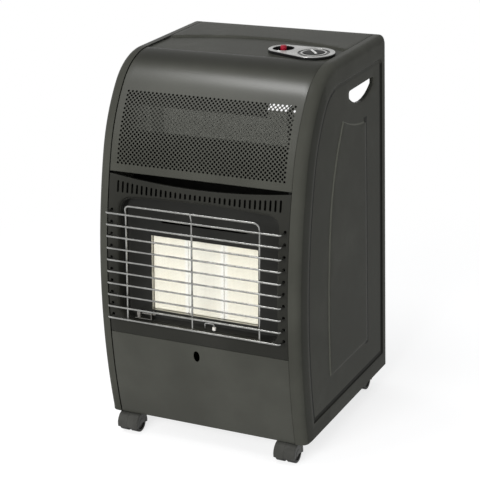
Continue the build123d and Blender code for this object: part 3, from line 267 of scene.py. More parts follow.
# --------------------------------------------------------------------------- meshes
class Shell:
    """Gathers grids and filled regions, in millimetres, into one mesh object."""

    def __init__(self):
        self.points, self.faces, self.count = [], [], 0

    def add(self, points, faces):
        points = np.asarray(points, float).reshape(-1, 3)
        self.faces += (np.asarray(faces) + self.count).tolist()
        self.points.append(points)
        self.count += len(points)

    def grid(self, surface, wrap_u=False, wrap_v=True):
        """Quads between the neighbours of an (n, m, 3) array of points."""
        surface = np.array(surface)
        n, m = surface.shape[:2]
        ids = np.arange(n * m).reshape(n, m)
        ids = np.vstack([ids, ids[:1]]) if wrap_u else ids
        ids = np.hstack([ids, ids[:, :1]]) if wrap_v else ids
        quads = np.stack([ids[:-1, :-1], ids[1:, :-1], ids[1:, 1:], ids[:-1, 1:]], -1)
        self.add(surface, quads.reshape(-1, 4))

    def region(self, place, outer, holes=(), inner=None, spacing=0.0, lines=()):
        """Fills the flat region between closed loops, and puts it in space with place(x, y)."""
        loops = [np.asarray(outer, float), *[np.asarray(h, float) for h in holes]]
        sets, edges, count = loops + [np.asarray(path, float) for path in lines], [], 0
        for k, path in enumerate(sets):
            ids = np.arange(len(path)) + count
            sides = np.stack([ids, np.roll(ids, -1)], -1)
            edges += (sides if k < len(loops) else sides[:-1]).tolist()
            count += len(path)
        if inner is not None:
            rim = np.concatenate(sets)
            keep = np.ones(len(inner), bool)
            for start in range(0, len(inner), 500):
                gap = np.linalg.norm(inner[start : start + 500, None] - rim[None], axis=2)
                keep[start : start + 500] = gap.min(1) > spacing
            sets.append(inner[keep])
        flat = [Vector(point) for point in np.concatenate(sets)]
        made, _, faces, *_ = delaunay_2d_cdt(flat, edges, [], 0, 1e-6)
        made, faces = np.array([tuple(point) for point in made]), np.array(faces)
        middle = made[faces].mean(1)
        keep = inside(middle, loops[0])
        for hole in loops[1:]:
            near = np.flatnonzero(np.all((middle > hole.min(0)) & (middle < hole.max(0)), 1))
            keep[near[inside(middle[near], hole)]] = False
        self.add(place(made[:, 0], made[:, 1]), faces[keep])

    def build(self, name, slot, body, facing=None, wall=0.0, merge=0.002, finish=None):
        """Turns the gathered shape into an object that rides on a body."""
        mesh = bpy.data.meshes.new(name)
        mesh.from_pydata((np.concatenate(self.points) * MM).tolist(), [], self.faces)
        work = bmesh.new()
        work.from_mesh(mesh)
        bmesh.ops.remove_doubles(work, verts=work.verts, dist=merge * MM)
        bmesh.ops.dissolve_degenerate(work, edges=work.edges, dist=merge * MM)
        bmesh.ops.recalc_face_normals(work, faces=work.faces)
        if facing is not None:
            lean = sum((f.normal * f.calc_area() for f in work.faces), Vector())
            if lean.dot(Vector(facing)) < 0:
                bmesh.ops.reverse_faces(work, faces=work.faces)
        work.to_mesh(mesh)
        work.free()
        mesh.polygons.foreach_set("use_smooth", np.ones(len(mesh.polygons), bool))
        mesh.set_sharp_from_angle(angle=radians(35.0))
        piece = bpy.data.objects.new(name, mesh)
        bpy.context.scene.collection.objects.link(piece)
        if wall:
            self.sharpen_rim(mesh)
            solid = piece.modifiers.new("wall", "SOLIDIFY")
            solid.thickness, solid.offset, solid.use_even_offset = wall * MM, -1.0, True
        mesh.materials.append(finish_material(finish or slot))
        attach(piece, body)
        return piece

    @staticmethod
    def sharpen_rim(mesh):
        """Marks the edges of only one face sharp, so that the wall meets them crisply."""
        ids = np.empty(len(mesh.loops), np.int32)
        mesh.loops.foreach_get("edge_index", ids)
        rim = np.bincount(ids, minlength=len(mesh.edges)) == 1
        edge = mesh.attributes.get("sharp_edge")
        edge = edge or mesh.attributes.new("sharp_edge", "BOOLEAN", "EDGE")
        flags = np.zeros(len(mesh.edges), bool)
        edge.data.foreach_get("value", flags)
        edge.data.foreach_set("value", flags | rim)


def revolve(profile, centre, axis="z", count=48):
    """Grid of a profile of (radius, height) pairs turned about an axis through a point."""
    profile = np.asarray(profile, float)
    turn = full_turn(count)
    across = profile[:, 0, None] * np.cos(turn)
    up = profile[:, 0, None] * np.sin(turn)
    along = np.broadcast_to(profile[:, 1, None], across.shape)
    order = (across, up, along) if axis == "z" else (along, across, up)
    return np.stack(order, -1) + np.asarray(centre, float)


def fillet_path(corners, radius, step=0.12):
    """Points of a path through corners whose bends are arcs tangent to both runs.

    A bend by the angle t takes radius * tan(t / 2) off both runs; its points turn
    about the centre, radius / cos(t / 2) from the corner on the bisector.
    """
    corners = np.asarray(corners, float)
    out = [corners[:1]]
    for before, corner, after in zip(corners, corners[1:], corners[2:]):
        a, b = before - corner, after - corner
        a, b = a / np.linalg.norm(a), b / np.linalg.norm(b)
        turn = pi - acos(np.clip(a @ b, -1, 1))
        centre = corner + (a + b) / np.linalg.norm(a + b) * radius / cos(turn / 2)
        first = (corner + a * radius * tan(turn / 2) - centre) / radius
        second = np.cross(np.cross(first, -a), first)
        second /= np.linalg.norm(second)
        t = np.linspace(0, turn, max(3, int(turn / step) + 1))[:, None]
        out.append(centre + radius * (np.cos(t) * first + np.sin(t) * second))
    return np.concatenate([*out, corners[-1:]])


def tube(path, radius, sides=12):
    """Grid of a circle carried along a path, with rounded ends that close on the axis.

    The section's axes are carried from point to point by projecting the last ones
    on the plane across the path.
    """
    path = np.asarray(path, float)
    ahead = np.gradient(path, axis=0)
    ahead /= np.linalg.norm(ahead, axis=1)[:, None]
    side = np.cross(ahead[0], (0.31, 0.52, 0.79))
    carried = []
    for tangent in ahead:
        side = side - tangent * (side @ tangent)
        side = side / np.linalg.norm(side)
        carried.append(side)
    u = np.array(carried)
    v = np.cross(ahead, u)
    turn = full_turn(sides)[None, :, None]
    ring = u[:, None] * np.cos(turn) + v[:, None] * np.sin(turn)
    cap = np.radians([30, 60, 90])
    bulge = radius * 0.6 * np.sin(cap)[:, None]
    centre = np.vstack([(path[0] - ahead[0] * bulge)[::-1], path, path[-1] + ahead[-1] * bulge])
    taper = radius * np.cos(cap)
    reach = np.concatenate([taper[::-1], np.full(len(path), float(radius)), taper])
    ring = np.concatenate([np.repeat(ring[:1], 3, 0), ring, np.repeat(ring[-1:], 3, 0)])
    return centre[:, None] + ring * reach[:, None, None]


# ------------------------------------------------------------------------ materials
class Sock:
    """A shader socket with arithmetic that adds Math nodes."""

    def __init__(self, net, value):
        self.net, self.value = net, value

    def math(self, kind, *values):
        return self.net.node("Math", {"operation": kind}, dict(enumerate(values)))

    def __add__(self, other): return self.math("ADD", self, other)
    def __radd__(self, other): return self.math("ADD", other, self)
    def __sub__(self, other): return self.math("SUBTRACT", self, other)
    def __rsub__(self, other): return self.math("SUBTRACT", other, self)
    def __mul__(self, other): return self.math("MULTIPLY", self, other)
    def __rmul__(self, other): return self.math("MULTIPLY", other, self)
    def __truediv__(self, other): return self.math("DIVIDE", self, other)
    def __pow__(self, other): return self.math("POWER", self, other)
    def minimum(self, other): return self.math("MINIMUM", self, other)
    def absolute(self): return self.math("ABSOLUTE", self)
    def floor(self): return self.math("FLOOR", self)
    def fraction(self): return self.math("FRACT", self)

    def ramp(self, low, high):
        """0 below low, 1 above high, smooth between."""
        return self.net.node("MapRange", {"interpolation_type": "SMOOTHSTEP"},
                             {"Value": self, "From Min": low, "From Max": high})


class Net:
    """The node tree of a material or of the world."""

    def __init__(self, owner):
        owner.use_nodes = True
        self.tree = owner.node_tree

    def node(self, kind, settings=None, inputs=None, out=0):
        """Adds a node: its type, its settings, then the values or links of its sockets."""
        made = self.tree.nodes.new("ShaderNode" + kind)
        for key, value in (settings or {}).items():
            setattr(made, key, value)
        for key, value in (inputs or {}).items():
            self.feed(made, key, value)
        return Sock(self, made.outputs[out]) if made.outputs else made

    def feed(self, node, key, value):
        value = value.value if isinstance(value, Sock) else value
        if isinstance(value, bpy.types.NodeSocket):
            self.tree.links.new(value, node.inputs[key])
        elif isinstance(value, tuple) and len(value) == 3 and node.inputs[key].type == "RGBA":
            node.inputs[key].default_value = (*value, 1.0)
        else:
            node.inputs[key].default_value = value

    def set(self, **inputs):
        """Feeds the Principled shader; underscores stand for spaces."""
        for key, value in inputs.items():
            self.feed(self.tree.nodes["Principled BSDF"], key.replace("_", " "), value)

    def place(self, scale=(1, 1, 1), turn=(0, 0, 0)):
        """Object coordinates in metres, scaled and turned."""
        coordinates = self.node("TexCoord", out=3)
        return self.node("Mapping", {}, {"Vector": coordinates, "Scale": scale, "Rotation": turn})

    def split(self, vector):
        made = self.tree.nodes.new("ShaderNodeSeparateXYZ")
        self.feed(made, "Vector", vector)
        return [Sock(self, output) for output in made.outputs]

    def noise(self, scale, detail=3.0, rough=0.5, where=None, distortion=0.0):
        return self.node("TexNoise", {}, {
            "Vector": where or self.place(), "Scale": scale, "Detail": detail,
            "Roughness": rough, "Distortion": distortion})

    def cells(self, scale, feature="F1", out=0):
        return self.node("TexVoronoi", {"feature": feature},
                         {"Vector": self.place(), "Scale": scale}, out)

    def blend(self, factor, a, b):
        """Colour between a and b."""
        return self.node("Mix", {"data_type": "RGBA"}, {0: factor, 6: a, 7: b}, 2)

    def bump(self, height, strength, distance):
        return self.node("Bump", {}, {
            "Height": height, "Strength": strength, "Distance": distance})


def shade(colour, times, plus=0.0):
    return tuple(min(1.0, c * times + plus) for c in colour)


def powder_coat(net, colour, rough=0.26, grain=0.10, gloss=0.09, painted_light=None):
    """Satin powder coat: fine orange peel and faint cloudiness; the painted-light function gives
    pairs of where shade or a highlight is painted into the colour and how much lighter it is there."""
    cloud = net.noise(7.0, 4.0)
    fine = net.noise(1400.0, 2.0)
    peel = net.cells(420.0, "SMOOTH_F1")
    base = net.blend(cloud.ramp(0.35, 0.7), colour, shade(colour, 1.22, 0.002))
    # Painted shade and painted highlights are mixed into the base colour here.
    for where, times in painted_light(net) if painted_light else ():
        base = net.blend(where, base, shade(colour, times))
    net.set(Base_Color=base, Specular_IOR_Level=gloss,
            Roughness=rough + 0.10 * (cloud - 0.5) + 0.06 * (fine - 0.5),
            Normal=net.bump(peel + 0.4 * fine, grain, 0.0004))


# How much darker painted shade and how much lighter a painted highlight make the paint.
SHADE_TIMES, HIGHLIGHT_TIMES = 0.34, 3.0


def step_painted_light(net):
    """Painted shade at the pressed steps and a painted highlight on the tongue's edge, from the
    panel's own attributes.
    """
    shade_mask, highlight_mask = (net.node("Attribute", {"attribute_name": name}, out=2)
                 for name in ("step_dirt", "step_rub"))
    return (shade_mask, SHADE_TIMES), (highlight_mask, HIGHLIGHT_TIMES)


def deck_painted_highlight(net):
    """Painted highlight along the top cover's front edge."""
    _, y, _ = net.split(net.place())
    return ((0.5 * (1.0 - y.ramp(-0.0072, -0.0052)), HIGHLIGHT_TIMES),)


def curve_painted_shade(net):
    """Painted shade on the top of the curve, under the top cover's front edge."""
    _, _, z = net.split(net.place())
    return ((0.6 * z.ramp(0.708, 0.724), SHADE_TIMES),)


def panel_coat(net, colour):
    """Powder coat with a satin lacquer that is thickest where the curve is steepest."""
    # The curve's top gets painted shade in its colour.
    powder_coat(net, colour, rough=0.30, gloss=0.03, painted_light=curve_painted_shade)
    _, _, z = net.split(net.place())
    lacquer = 0.80 * (1.0 - z.ramp(0.690, 0.720)) * z.ramp(0.540, 0.670)
    net.set(Coat_Weight=lacquer, Coat_Roughness=0.30)


def plated(net, colour, rough=0.16):
    """Bright plated steel: faint drawn lines, clouding of the plating."""
    cloud = net.noise(45.0, 3.0)
    drawn = net.noise(300.0, 2.0, where=net.place((1, 1, 8)))
    net.set(Base_Color=net.blend(cloud.ramp(0.3, 0.75), shade(colour, 0.72), colour),
            Metallic=1.0, Roughness=rough + 0.12 * (cloud - 0.5) + 0.08 * (drawn - 0.5),
            Normal=net.bump(drawn, 0.08, 0.0002))


def shaded_zinc(net, colour):
    """Dull zinc sheet whose flat crystals differ in tone, with nearly black painted shade below a
    level line and along one upright fold."""
    x, _, z = net.split(net.place())
    # Painted shade: the zinc shows only above this level line and away from the fold at x = -0.147.
    above_shade_line = (z + 0.0016 * (net.noise(30.0, 2.0) - 0.5)).ramp(0.5735, 0.5765)
    fold = (x + 0.147).absolute().ramp(0.0135, 0.0150)
    shown = above_shade_line * (0.35 + 0.65 * fold)
    tone = net.split(net.cells(95.0, out=1))[0]
    zinc = net.blend(tone, shade(colour, 0.8), colour)
    net.set(Base_Color=net.blend(shown, (0.004, 0.004, 0.0035), zinc), Metallic=0.25 * shown,
            Roughness=0.58 + 0.1 * (tone - 0.5), Specular_IOR_Level=0.15,
            Normal=net.bump(tone, 0.1, 0.0003))


def moulded(net, colour, rough=0.36, grain=0.2, scale=900.0, gloss=0.3):
    """Moulded plastic: fine spark-eroded grain and slight flow marks."""
    grainy = net.noise(scale, 2.0, 0.6)
    flow = net.noise(28.0, 2.0, distortion=0.6)
    net.set(Base_Color=net.blend(flow.ramp(0.4, 0.75), colour, shade(colour, 1.3, 0.004)),
            Roughness=rough + 0.10 * (grainy - 0.5) + 0.06 * (flow - 0.5),
            Specular_IOR_Level=gloss, Normal=net.bump(grainy, grain, 0.0003))


def plaque_finish(net, colour):
    """Porous ceramic: staggered rows of tiny gas ports, faint upright streaks, a paler band
    at each joint between plaques and a paler middle plaque."""
    x, _, z = net.split(net.place(turn=(LEAN, 0, 0)))
    pitch = 0.0027
    row, column = z / pitch, x / (pitch * 1.155)
    across = (column + row.floor() * 0.5).fraction() - 0.5
    along = row.fraction() - 0.5
    port = 1.0 - ((across * across + along * along) ** 0.5).ramp(0.16, 0.32)
    streak = net.noise(330.0, 1.0, where=net.place((1, 1, 0.04)))
    stain = net.noise(16.0, 3.0)
    joint = 1.0 - (x.absolute() - 0.0372).absolute().ramp(0.003, 0.0105)
    middle = 1.0 - x.absolute().ramp(0.030, 0.040)
    warm = (colour[0] * 0.97, colour[1] * 0.93, colour[2] * 0.84)
    base = net.blend(stain.ramp(0.4, 0.8) * 0.5, colour, warm)
    base = net.blend(streak.ramp(0.35, 0.7) * 0.16, base, (0.70, 0.66, 0.52))
    base = net.blend(0.22 * middle, base, (0.88, 0.88, 0.84))
    base = net.blend(0.75 * joint, base, (0.97, 0.97, 0.93))
    net.set(Base_Color=net.blend(port * 0.34, base, (0.42, 0.37, 0.26)), Roughness=0.85,
            Specular_IOR_Level=0.25,
            Normal=net.bump(1.0 - port + 0.15 * net.noise(2500.0, 2.0), 0.4, 0.0006))


def glazed(net, colour):
    """White glazed insulator: smooth glaze over faint turning marks."""
    turned = net.noise(500.0, 2.0, where=net.place((1, 1, 6)))
    net.set(Base_Color=net.blend(turned.ramp(0.4, 0.8) * 0.4, colour, (0.72, 0.69, 0.62)),
            Roughness=0.22 + 0.1 * (turned - 0.5), Coat_Weight=0.4,
            Normal=net.bump(turned, 0.08, 0.0003))


def bezel_finish(net, colour):
    """Brushed silver on the raised faces; the sides, the dial's groove and the wells are
    black."""
    _, _, z = net.split(net.place())
    face = z.ramp(0.73235, 0.73255)
    brushed = net.noise(500.0, 2.0, where=net.place((1, 12, 1)))
    silver = net.blend(net.noise(40.0, 2.0).ramp(0.3, 0.7), shade(colour, 0.8), colour)
    net.set(Base_Color=net.blend(face, (0.006, 0.006, 0.006), silver), Metallic=0.9 * face,
            Roughness=0.28 + 0.14 * (brushed - 0.5), Specular_IOR_Level=0.2,
            Normal=net.bump(brushed, 0.1, 0.0002))


# Finish: recipe, colour or the name of the setting that holds it, other values.
FINISHES = {
    "cabinet_paint": (powder_coat, "paint_colour", {}),
    # The side and deck paints get painted shade and painted highlights in their colour.
    "side_paint": (powder_coat, "paint_colour", {"gloss": 0.012, "painted_light": step_painted_light}),
    "deck_paint": (powder_coat, "paint_colour", {"gloss": 0.008, "painted_light": deck_painted_highlight}),
    "panel_paint": (panel_coat, "paint_colour", {}),
    "fascia_paint": (powder_coat, "fascia_colour", {"gloss": 0.07}),
    "tray_paint": (powder_coat, (0.034, 0.035, 0.032), {"rough": 0.5}),
    # The shield's zinc has painted shade below a level line and at one fold.
    "shield_steel": (shaded_zinc, (0.28, 0.285, 0.255), {}),
    "dark_steel": (powder_coat, (0.0150, 0.0150, 0.0135), {"rough": 0.45, "gloss": 0.12}),
    "plaque_ceramic": (plaque_finish, "plaque_colour", {}),
    "frame_steel": (plated, (0.50, 0.49, 0.46), {"rough": 0.28}),
    "pilot_steel": (plated, (0.30, 0.29, 0.27), {"rough": 0.34}),
    "guard_chrome": (plated, "guard_colour", {"rough": 0.26}),
    "brass": (plated, (0.72, 0.50, 0.22), {"rough": 0.28}),
    "pipe_steel": (plated, (0.55, 0.55, 0.54), {"rough": 0.35}),
    "insulator_ceramic": (glazed, (0.84, 0.82, 0.77), {}),
    "bezel_silver": (bezel_finish, (0.37, 0.37, 0.36), {}),
    "knob_black": (moulded, (0.006, 0.006, 0.006), {"rough": 0.42, "gloss": 0.04}),
    "pointer_silver": (plated, (0.66, 0.66, 0.65), {"rough": 0.24}),
    "button_red": (moulded, "button_colour", {"rough": 0.30, "grain": 0.06, "gloss": 0.2}),
    "igniter_plastic": (moulded, (0.03, 0.03, 0.03), {}),
    "screw_steel": (plated, (0.50, 0.50, 0.48), {"rough": 0.36}),
    "caster_plastic": (moulded, (0.040, 0.040, 0.036), {"rough": 0.42, "gloss": 0.2}),
    "wheel_plastic": (moulded, (0.020, 0.020, 0.018),
                      {"rough": 0.50, "scale": 500.0, "gloss": 0.15}),
}
# Nodes that look different from the rest of their slot; the gas pipe's dark paint is painted shade,
# standing for the shade inside the cabinet.
NODE_FINISH = {"pilot_bracket": "pilot_steel", "gas_pipe": "tray_paint"}
MADE = {}


def finish_material(slot):
    """The procedural material of one finish, made once."""
    if slot not in MADE:
        recipe, colour, extra = FINISHES[slot]
        if isinstance(colour, str):
            colour = tuple(getattr(bpy.context.scene.heater_looks, colour))
        material = bpy.data.materials.new(slot)
        recipe(Net(material), colour, **extra)
        MADE[slot] = material
    return MADE[slot]


def finish_nodes():
    """Every node of the frame that stays gets the finish of its record slot."""
    slots = {part["node"]: part["material_slot"] for part in frame["record"]["subparts"]}
    for name, node in frame["nodes"].items():
        material = finish_material(NODE_FINISH.get(name, slots[name]))
        if not node.data.materials:
            node.data.materials.append(material)
        for slot in node.material_slots:
            slot.link = "OBJECT"
            slot.material = material


# ---------------------------------------------------------------------- side panels
def side_loop(inset, rear, low, corner):
    """Side-view outline of a side panel moved inwards: the three arcs of the front
    curve with their radii shortened, the top, the rounded rear corner, back and foot."""
    foot = BOTTOM + low
    runs = np.concatenate([
        np.linspace(float(height_run(foot, inset)), SECOND_ARC, 60, endpoint=False),
        np.linspace(SECOND_ARC, THIRD_ARC, 24, endpoint=False),
        np.linspace(THIRD_ARC, CURVE_END, 28, endpoint=False),
    ])
    front = xy(*front_point(runs, inset))
    top, back = TOP - inset, REAR - rear
    return np.concatenate([
        front,
        line((CURVE[2][0], top), (back - corner, top), 24),
        arc((back - corner, top - corner), corner, 90, 0, 10),
        line((back, top - corner), (back, foot), 60),
        line((back, foot), front[0], 40),
    ])


def band_insets(shift):
    """side_loop's values for the band's inner edge, moved inwards by shift."""
    return 41 + shift, 27 + shift, 31 + shift, 12.0 - shift


def tongue_loop(grow):
    """Outline of the raised tongue: an upright back, a straight foot, a slightly
    bulged front and an arched top that meets it in a tangent arc.

    The tangent arc's centre lies on the normal at its lower end, where the chord's
    square over twice its share along that normal is the radius.
    """
    foot, back = 134.0 - grow, 118.0 + grow
    toe = (-67.0 - grow, foot)
    bend = np.array((-58.0 - grow, 428.0))
    tip = (9.0 - grow / 2, 614.0 + grow)
    rear_top = (back, 586.0 + grow)
    lower = arc_through(toe, (-69.5 - grow, (foot + 428.0) / 2), bend, 40)
    heading = (bend - lower[-1]) / np.hypot(*(bend - lower[-1]))
    normal = np.array([heading[1], -heading[0]])
    chord = np.asarray(tip) - bend
    reach = (chord @ chord) / (2 * chord @ normal)
    centre = bend + normal * reach
    a = np.degrees(np.unwrap([atan2(*(p - centre)[::-1]) for p in (bend, np.asarray(tip))]))
    crest = ((tip[0] + back) / 2, (tip[1] + rear_top[1]) / 2 - 6.0)
    return np.concatenate([
        lower, arc(centre, abs(reach), a[0], a[1], 30), arc_through(tip, crest, rear_top, 20),
        line(rear_top, (back, foot), 40), line((back, foot), toe, 24),
    ])


def hand_loop(grow):
    """Outline of the hand hole: straight top, short upright ends, rounded belly."""
    middle, half, top, waist, belly = 100.0, 59.0 + grow, 662.0 + grow, 649.0, 629.0 - grow
    floor = bowed(half, waist - belly, 9) + (middle, belly)
    corners = [(middle + half, top), (middle - half, top), *floor]
    end = 5.0 + grow
    return rounded(corners, [end] * 3 + [8.0] * 7 + [end], 5, 4)


def side_rings():
    """Rings of a side panel: side_loop's values and x.

    They run from the turned-in rim over the rounded edge, which is a quarter circle,
    across the band, down a step whose depth is half a cosine wave, and onto the field.
    """
    rings = [(0.0, 0.0, 0.0, 9.0, HALF_WIDTH - 23.0)]
    for t in quarter(12):
        inset = EDGE_ROUND * (1 - cos(t))
        x = HALF_WIDTH - EDGE_ROUND + EDGE_ROUND * sin(t)
        rings.append((inset, inset, 0.0, 9.0 + 0.05 * inset, x))
    for t in (0.15, 0.4, 0.7):
        insets = (EDGE_ROUND + 25.0 * t, EDGE_ROUND + 11.0 * t, 30.0 * t, 9.7 + 2.3 * t)
        rings.append((*insets, HALF_WIDTH))
    for t in np.linspace(0, 1, 9):
        insets = band_insets(STEP_START + STEP_RUN * t)
        rings.append((*insets, HALF_WIDTH - STEP_DROP * ease(t)))
    # Two more rings on the field, for the painted shade at the step's foot.
    for shift in (SHADE_NEAR, SHADE_FAR):
        rings.append((*band_insets(shift), HALF_WIDTH - STEP_DROP))
    return rings


def side_panel(sign):
    """One pressed side panel.

    The rings' x is lessened on the front of the band by a crown, whose depth falls
    with the square of the way to the step; the field, with its raised tongue and its
    hand hole, is filled between the rings.
    """
    field = HALF_WIDTH - STEP_DROP
    shell = Shell()
    surface = []
    for *insets, x in side_rings():
        loop = side_loop(*insets)
        bulge = np.clip(1 - insets[0] / 40.0, 0, 1) ** 2 * np.clip(-outwards(loop)[:, 0], 0, 1)
        crown = 3.0 * bulge if x > HALF_WIDTH - 20 else 0.0
        surface.append(xyz(sign * (x - crown), loop[:, 0], loop[:, 1]))
    shell.grid(surface)

    far, near = SHADE_FAR - 1.2, SHADE_NEAR - 1.2
    tongue = [(far, 0.0), (near, 0.0)]   # grow and rise of the rings round the tongue
    tongue += [(-STEP_START - STEP_RUN * t, STEP_DROP * ease(t)) for t in np.linspace(0, 1, 9)]
    shell.grid([xyz(sign * (field + rise), *tongue_loop(grow).T) for grow, rise in tongue])
    collar = [(HAND_ROUND * (1 - sin(t)), HAND_ROUND * (1 - cos(t))) for t in quarter(6)]
    collar.append((0.0, 8.0))
    shell.grid([xyz(sign * (field - drop), *hand_loop(grow).T) for grow, drop in collar])

    outer, crest = side_loop(*band_insets(SHADE_FAR)), tongue_loop(-STEP_START - STEP_RUN)
    holes = [tongue_loop(far), hand_loop(HAND_ROUND)]
    y, z = np.meshgrid(np.arange(-200.0, 226.0, 14.0), np.arange(45.0, 730.0, 14.0))
    spots = xy(y.ravel(), z.ravel())
    inner = spots[inside(spots, outer) & ~inside(spots, holes[0]) & ~inside(spots, holes[1])]
    shell.region(lambda y, z: xyz(sign * field, y, z), outer, holes, inner, 5.0)
    shell.region(lambda y, z: xyz(sign * HALF_WIDTH, y, z), crest, (),
                 spots[inside(spots, crest)], 5.0)
    side = "right" if sign > 0 else "left"
    piece = shell.build(f"side_panel_{side}_shell", "cabinet_paint", "cabinet",
                        facing=(sign, 0, 0), wall=1.0, finish="side_paint")
    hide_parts(f"side_panel_{side}")
    # The panel's attributes say where shade and highlights are painted on.
    mark_painted_light(piece.data)


def mark_painted_light(mesh):
    """Writes where a side panel gets painted shade and where it gets a painted highlight.

    Painted shade lies on the flanks and at the feet of the band's step and of the tongue's back,
    and faintly on the front of the band; the rest of the tongue's flank gets a painted highlight.
    """
    spots = np.empty(3 * len(mesh.vertices))
    mesh.vertices.foreach_get("co", spots)
    spots = spots.reshape(-1, 3) / MM
    level, spots = np.abs(spots[:, 0]), spots[:, 1:]
    within = inside(spots, side_loop(38.0, 24.0, 28.0, 12.0))
    low = (level < HALF_WIDTH - 0.02) & within
    by_band = ~inside(spots, side_loop(*band_insets(SHADE_FAR - 1.2)))
    by_tongue = inside(spots, tongue_loop(SHADE_NEAR))
    behind = spots[:, 0] > 110.0
    # Painted shade at the feet of the steps, weaker above 680 mm, and faint painted shade on the
    # front of the band.
    shade_mask = 1.0 * (low & (by_band | (by_tongue & behind)))
    shade_mask *= np.where(spots[:, 1] > 680.0, 0.3, 1.0)
    edge = inside(spots, side_loop(12.0, 12.0, 0.0, 9.5)) & ~within
    shade_mask += 0.35 * (edge & (spots[:, 0] < -70.0))
    flank = low & (level > HALF_WIDTH - STEP_DROP + 0.02)
    # Painted highlight on the tongue's flank in front of its back.
    highlight_mask = 0.6 * (flank & by_tongue & ~behind)
    for name, value in (("step_dirt", shade_mask), ("step_rub", highlight_mask)):
        mesh.attributes.new(name, "FLOAT", "POINT").data.foreach_set("value", value)


# --------------------------------------------------------------------- front panels
def panel_place(x, run, depth=0.0):
    """Puts the flat pattern of a front panel on the front curve."""
    return xyz(x, *front_point(run, PANEL_INSET + depth))


def turned_edge(shell, pattern, normals):
    """Turned-in edge of a front panel: a quarter circle, then straight inwards."""
    rows = []
    for t in quarter(6):
        moved = (pattern + normals * PANEL_ROUND * sin(t)).T
        rows.append(panel_place(*moved, PANEL_ROUND * (1 - cos(t))))
    rows.append(panel_place(*moved, PANEL_DEPTH))
    shell.grid(rows)


def panel_pattern(foot, high, columns=48, rows=30):
    """Flat outline of a front panel in (x, length along the curve) inside its rounded
    edge, with edge normals; foot is a height, high a length for each x or for all."""
    half, low = PANEL_HALF - PANEL_ROUND, float(panel_run(foot)) + PANEL_ROUND
    x = np.linspace(-half, half, columns + 1)
    top = np.broadcast_to(high(x) if callable(high) else high, x.shape) - PANEL_ROUND
    return border(x, np.linspace(low, top[-1], rows + 1), low, top[:0:-1])


def make_lower_panel():
    """Lower front panel: the curve's foot with turned-in edges and an oval sight hole."""
    shell = Shell()
    pattern, normals = panel_pattern(BOTTOM, float(panel_run(LOWER_TOP)))
    turn = full_turn(24)
    hole = xy(-4.0 + 6.5 * np.cos(turn), panel_run(195.0 + 11.0 * np.sin(turn)))
    shell.region(panel_place, pattern, [hole], inner_grid(pattern, [hole], 20.0, 9.0), 4.0)
    turned_edge(shell, pattern, normals)
    piece = shell.build("lower_front_panel_shell", "cabinet_paint", "cabinet",
                        facing=(0, -1, 0), wall=1.0)
    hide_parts("lower_front_panel")


def make_mesh_panel():
    """Upper front panel with its field of round perforations, in rows half a pitch apart
    of which each second one is shifted by half a pitch."""
    sizes = bpy.context.scene.heater_sizes
    pitch, hole = sizes.perforation_pitch / MM, sizes.perforation_hole / MM
    shell = Shell()
    pattern, normals = panel_pattern(MESH_FOOT, CURVE_END)
    low, high, half = float(panel_run(544.5)), float(panel_run(675.0)), 173.0
    rows = int((high - low - hole) / (pitch / 2)) + 1
    columns = int((2 * half - hole) / pitch) + 1
    turn = full_turn(8, 0.5)
    ring = hole / 2 * xy(np.cos(turn), np.sin(turn))
    spots = []
    for row in range(rows):
        count = columns - row % 2
        x = (np.arange(count) - (count - 1) / 2) * pitch
        spots.append(xy(x, low + hole / 2 + row * pitch / 2))
    holes = np.concatenate(spots)[:, None] + ring[None]
    inner = inner_grid(pattern, [], 12.0, 4.0)
    zone = (np.abs(inner[:, 0]) < half + 3) & (inner[:, 1] > low - 2) & (inner[:, 1] < high + 2)
    shell.region(panel_place, pattern, list(holes), inner[~zone], 2.0)
    turned_edge(shell, pattern, normals)
    piece = shell.build("mesh_panel_shell", "cabinet_paint", "cabinet",
                        facing=(0, -1, 0.3), wall=0.8, merge=0.01, finish="panel_paint")
    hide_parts("mesh_panel")


# -------------------------------------------------------------------------- burner
def lip_height(x, drop=0.0):
    """Height of the fascia's upper edge: a circle through both ends and a low middle."""
    return 514.0 - drop + sag(x, PANEL_HALF + 5.0, 13.5)


def leaning(foot, x, up, out):
    """Point of a leaning plane: across, up along it and out towards the front."""
    return xyz(x, foot[0] + up * sin(LEAN) - out * cos(LEAN),
               foot[1] + up * cos(LEAN) + out * sin(LEAN))


def burner_point(x, up, out):
    return leaning(BURNER_FOOT, x, up, out)


def opening_loop():
    """Burner opening in the burner plane (across, up): a rectangle with an arched
    top edge and rounded corners."""
    half, low, side_top, crown, corner = 164.0, -18.0, 219.0, 225.5, 23.0
    top = bowed(half, crown - side_top, 9)[::-1] * (1, -1) + (0, crown)
    corners = [(-half, low), (half, low), *top]
    return rounded(corners, [corner] * 3 + [400.0] * 7 + [corner], 8, 14)


def draw_at(out):
    """How far the recess has narrowed at a height above the plaques."""
    return -tan(DRAW) * (SKIN_OUT - out)


def skin_out(x, up):
    """Height above the plaques at which the fascia's skin lies over points of the burner
    plane, found in four steps of the gap that is left."""
    out = np.full_like(up, SKIN_OUT)
    for _ in range(4):
        point = burner_point(x, up, out)
        y, _ = front_point(panel_run(point[..., 2]), PANEL_INSET)
        out = out + (point[..., 1] - y)
    return out


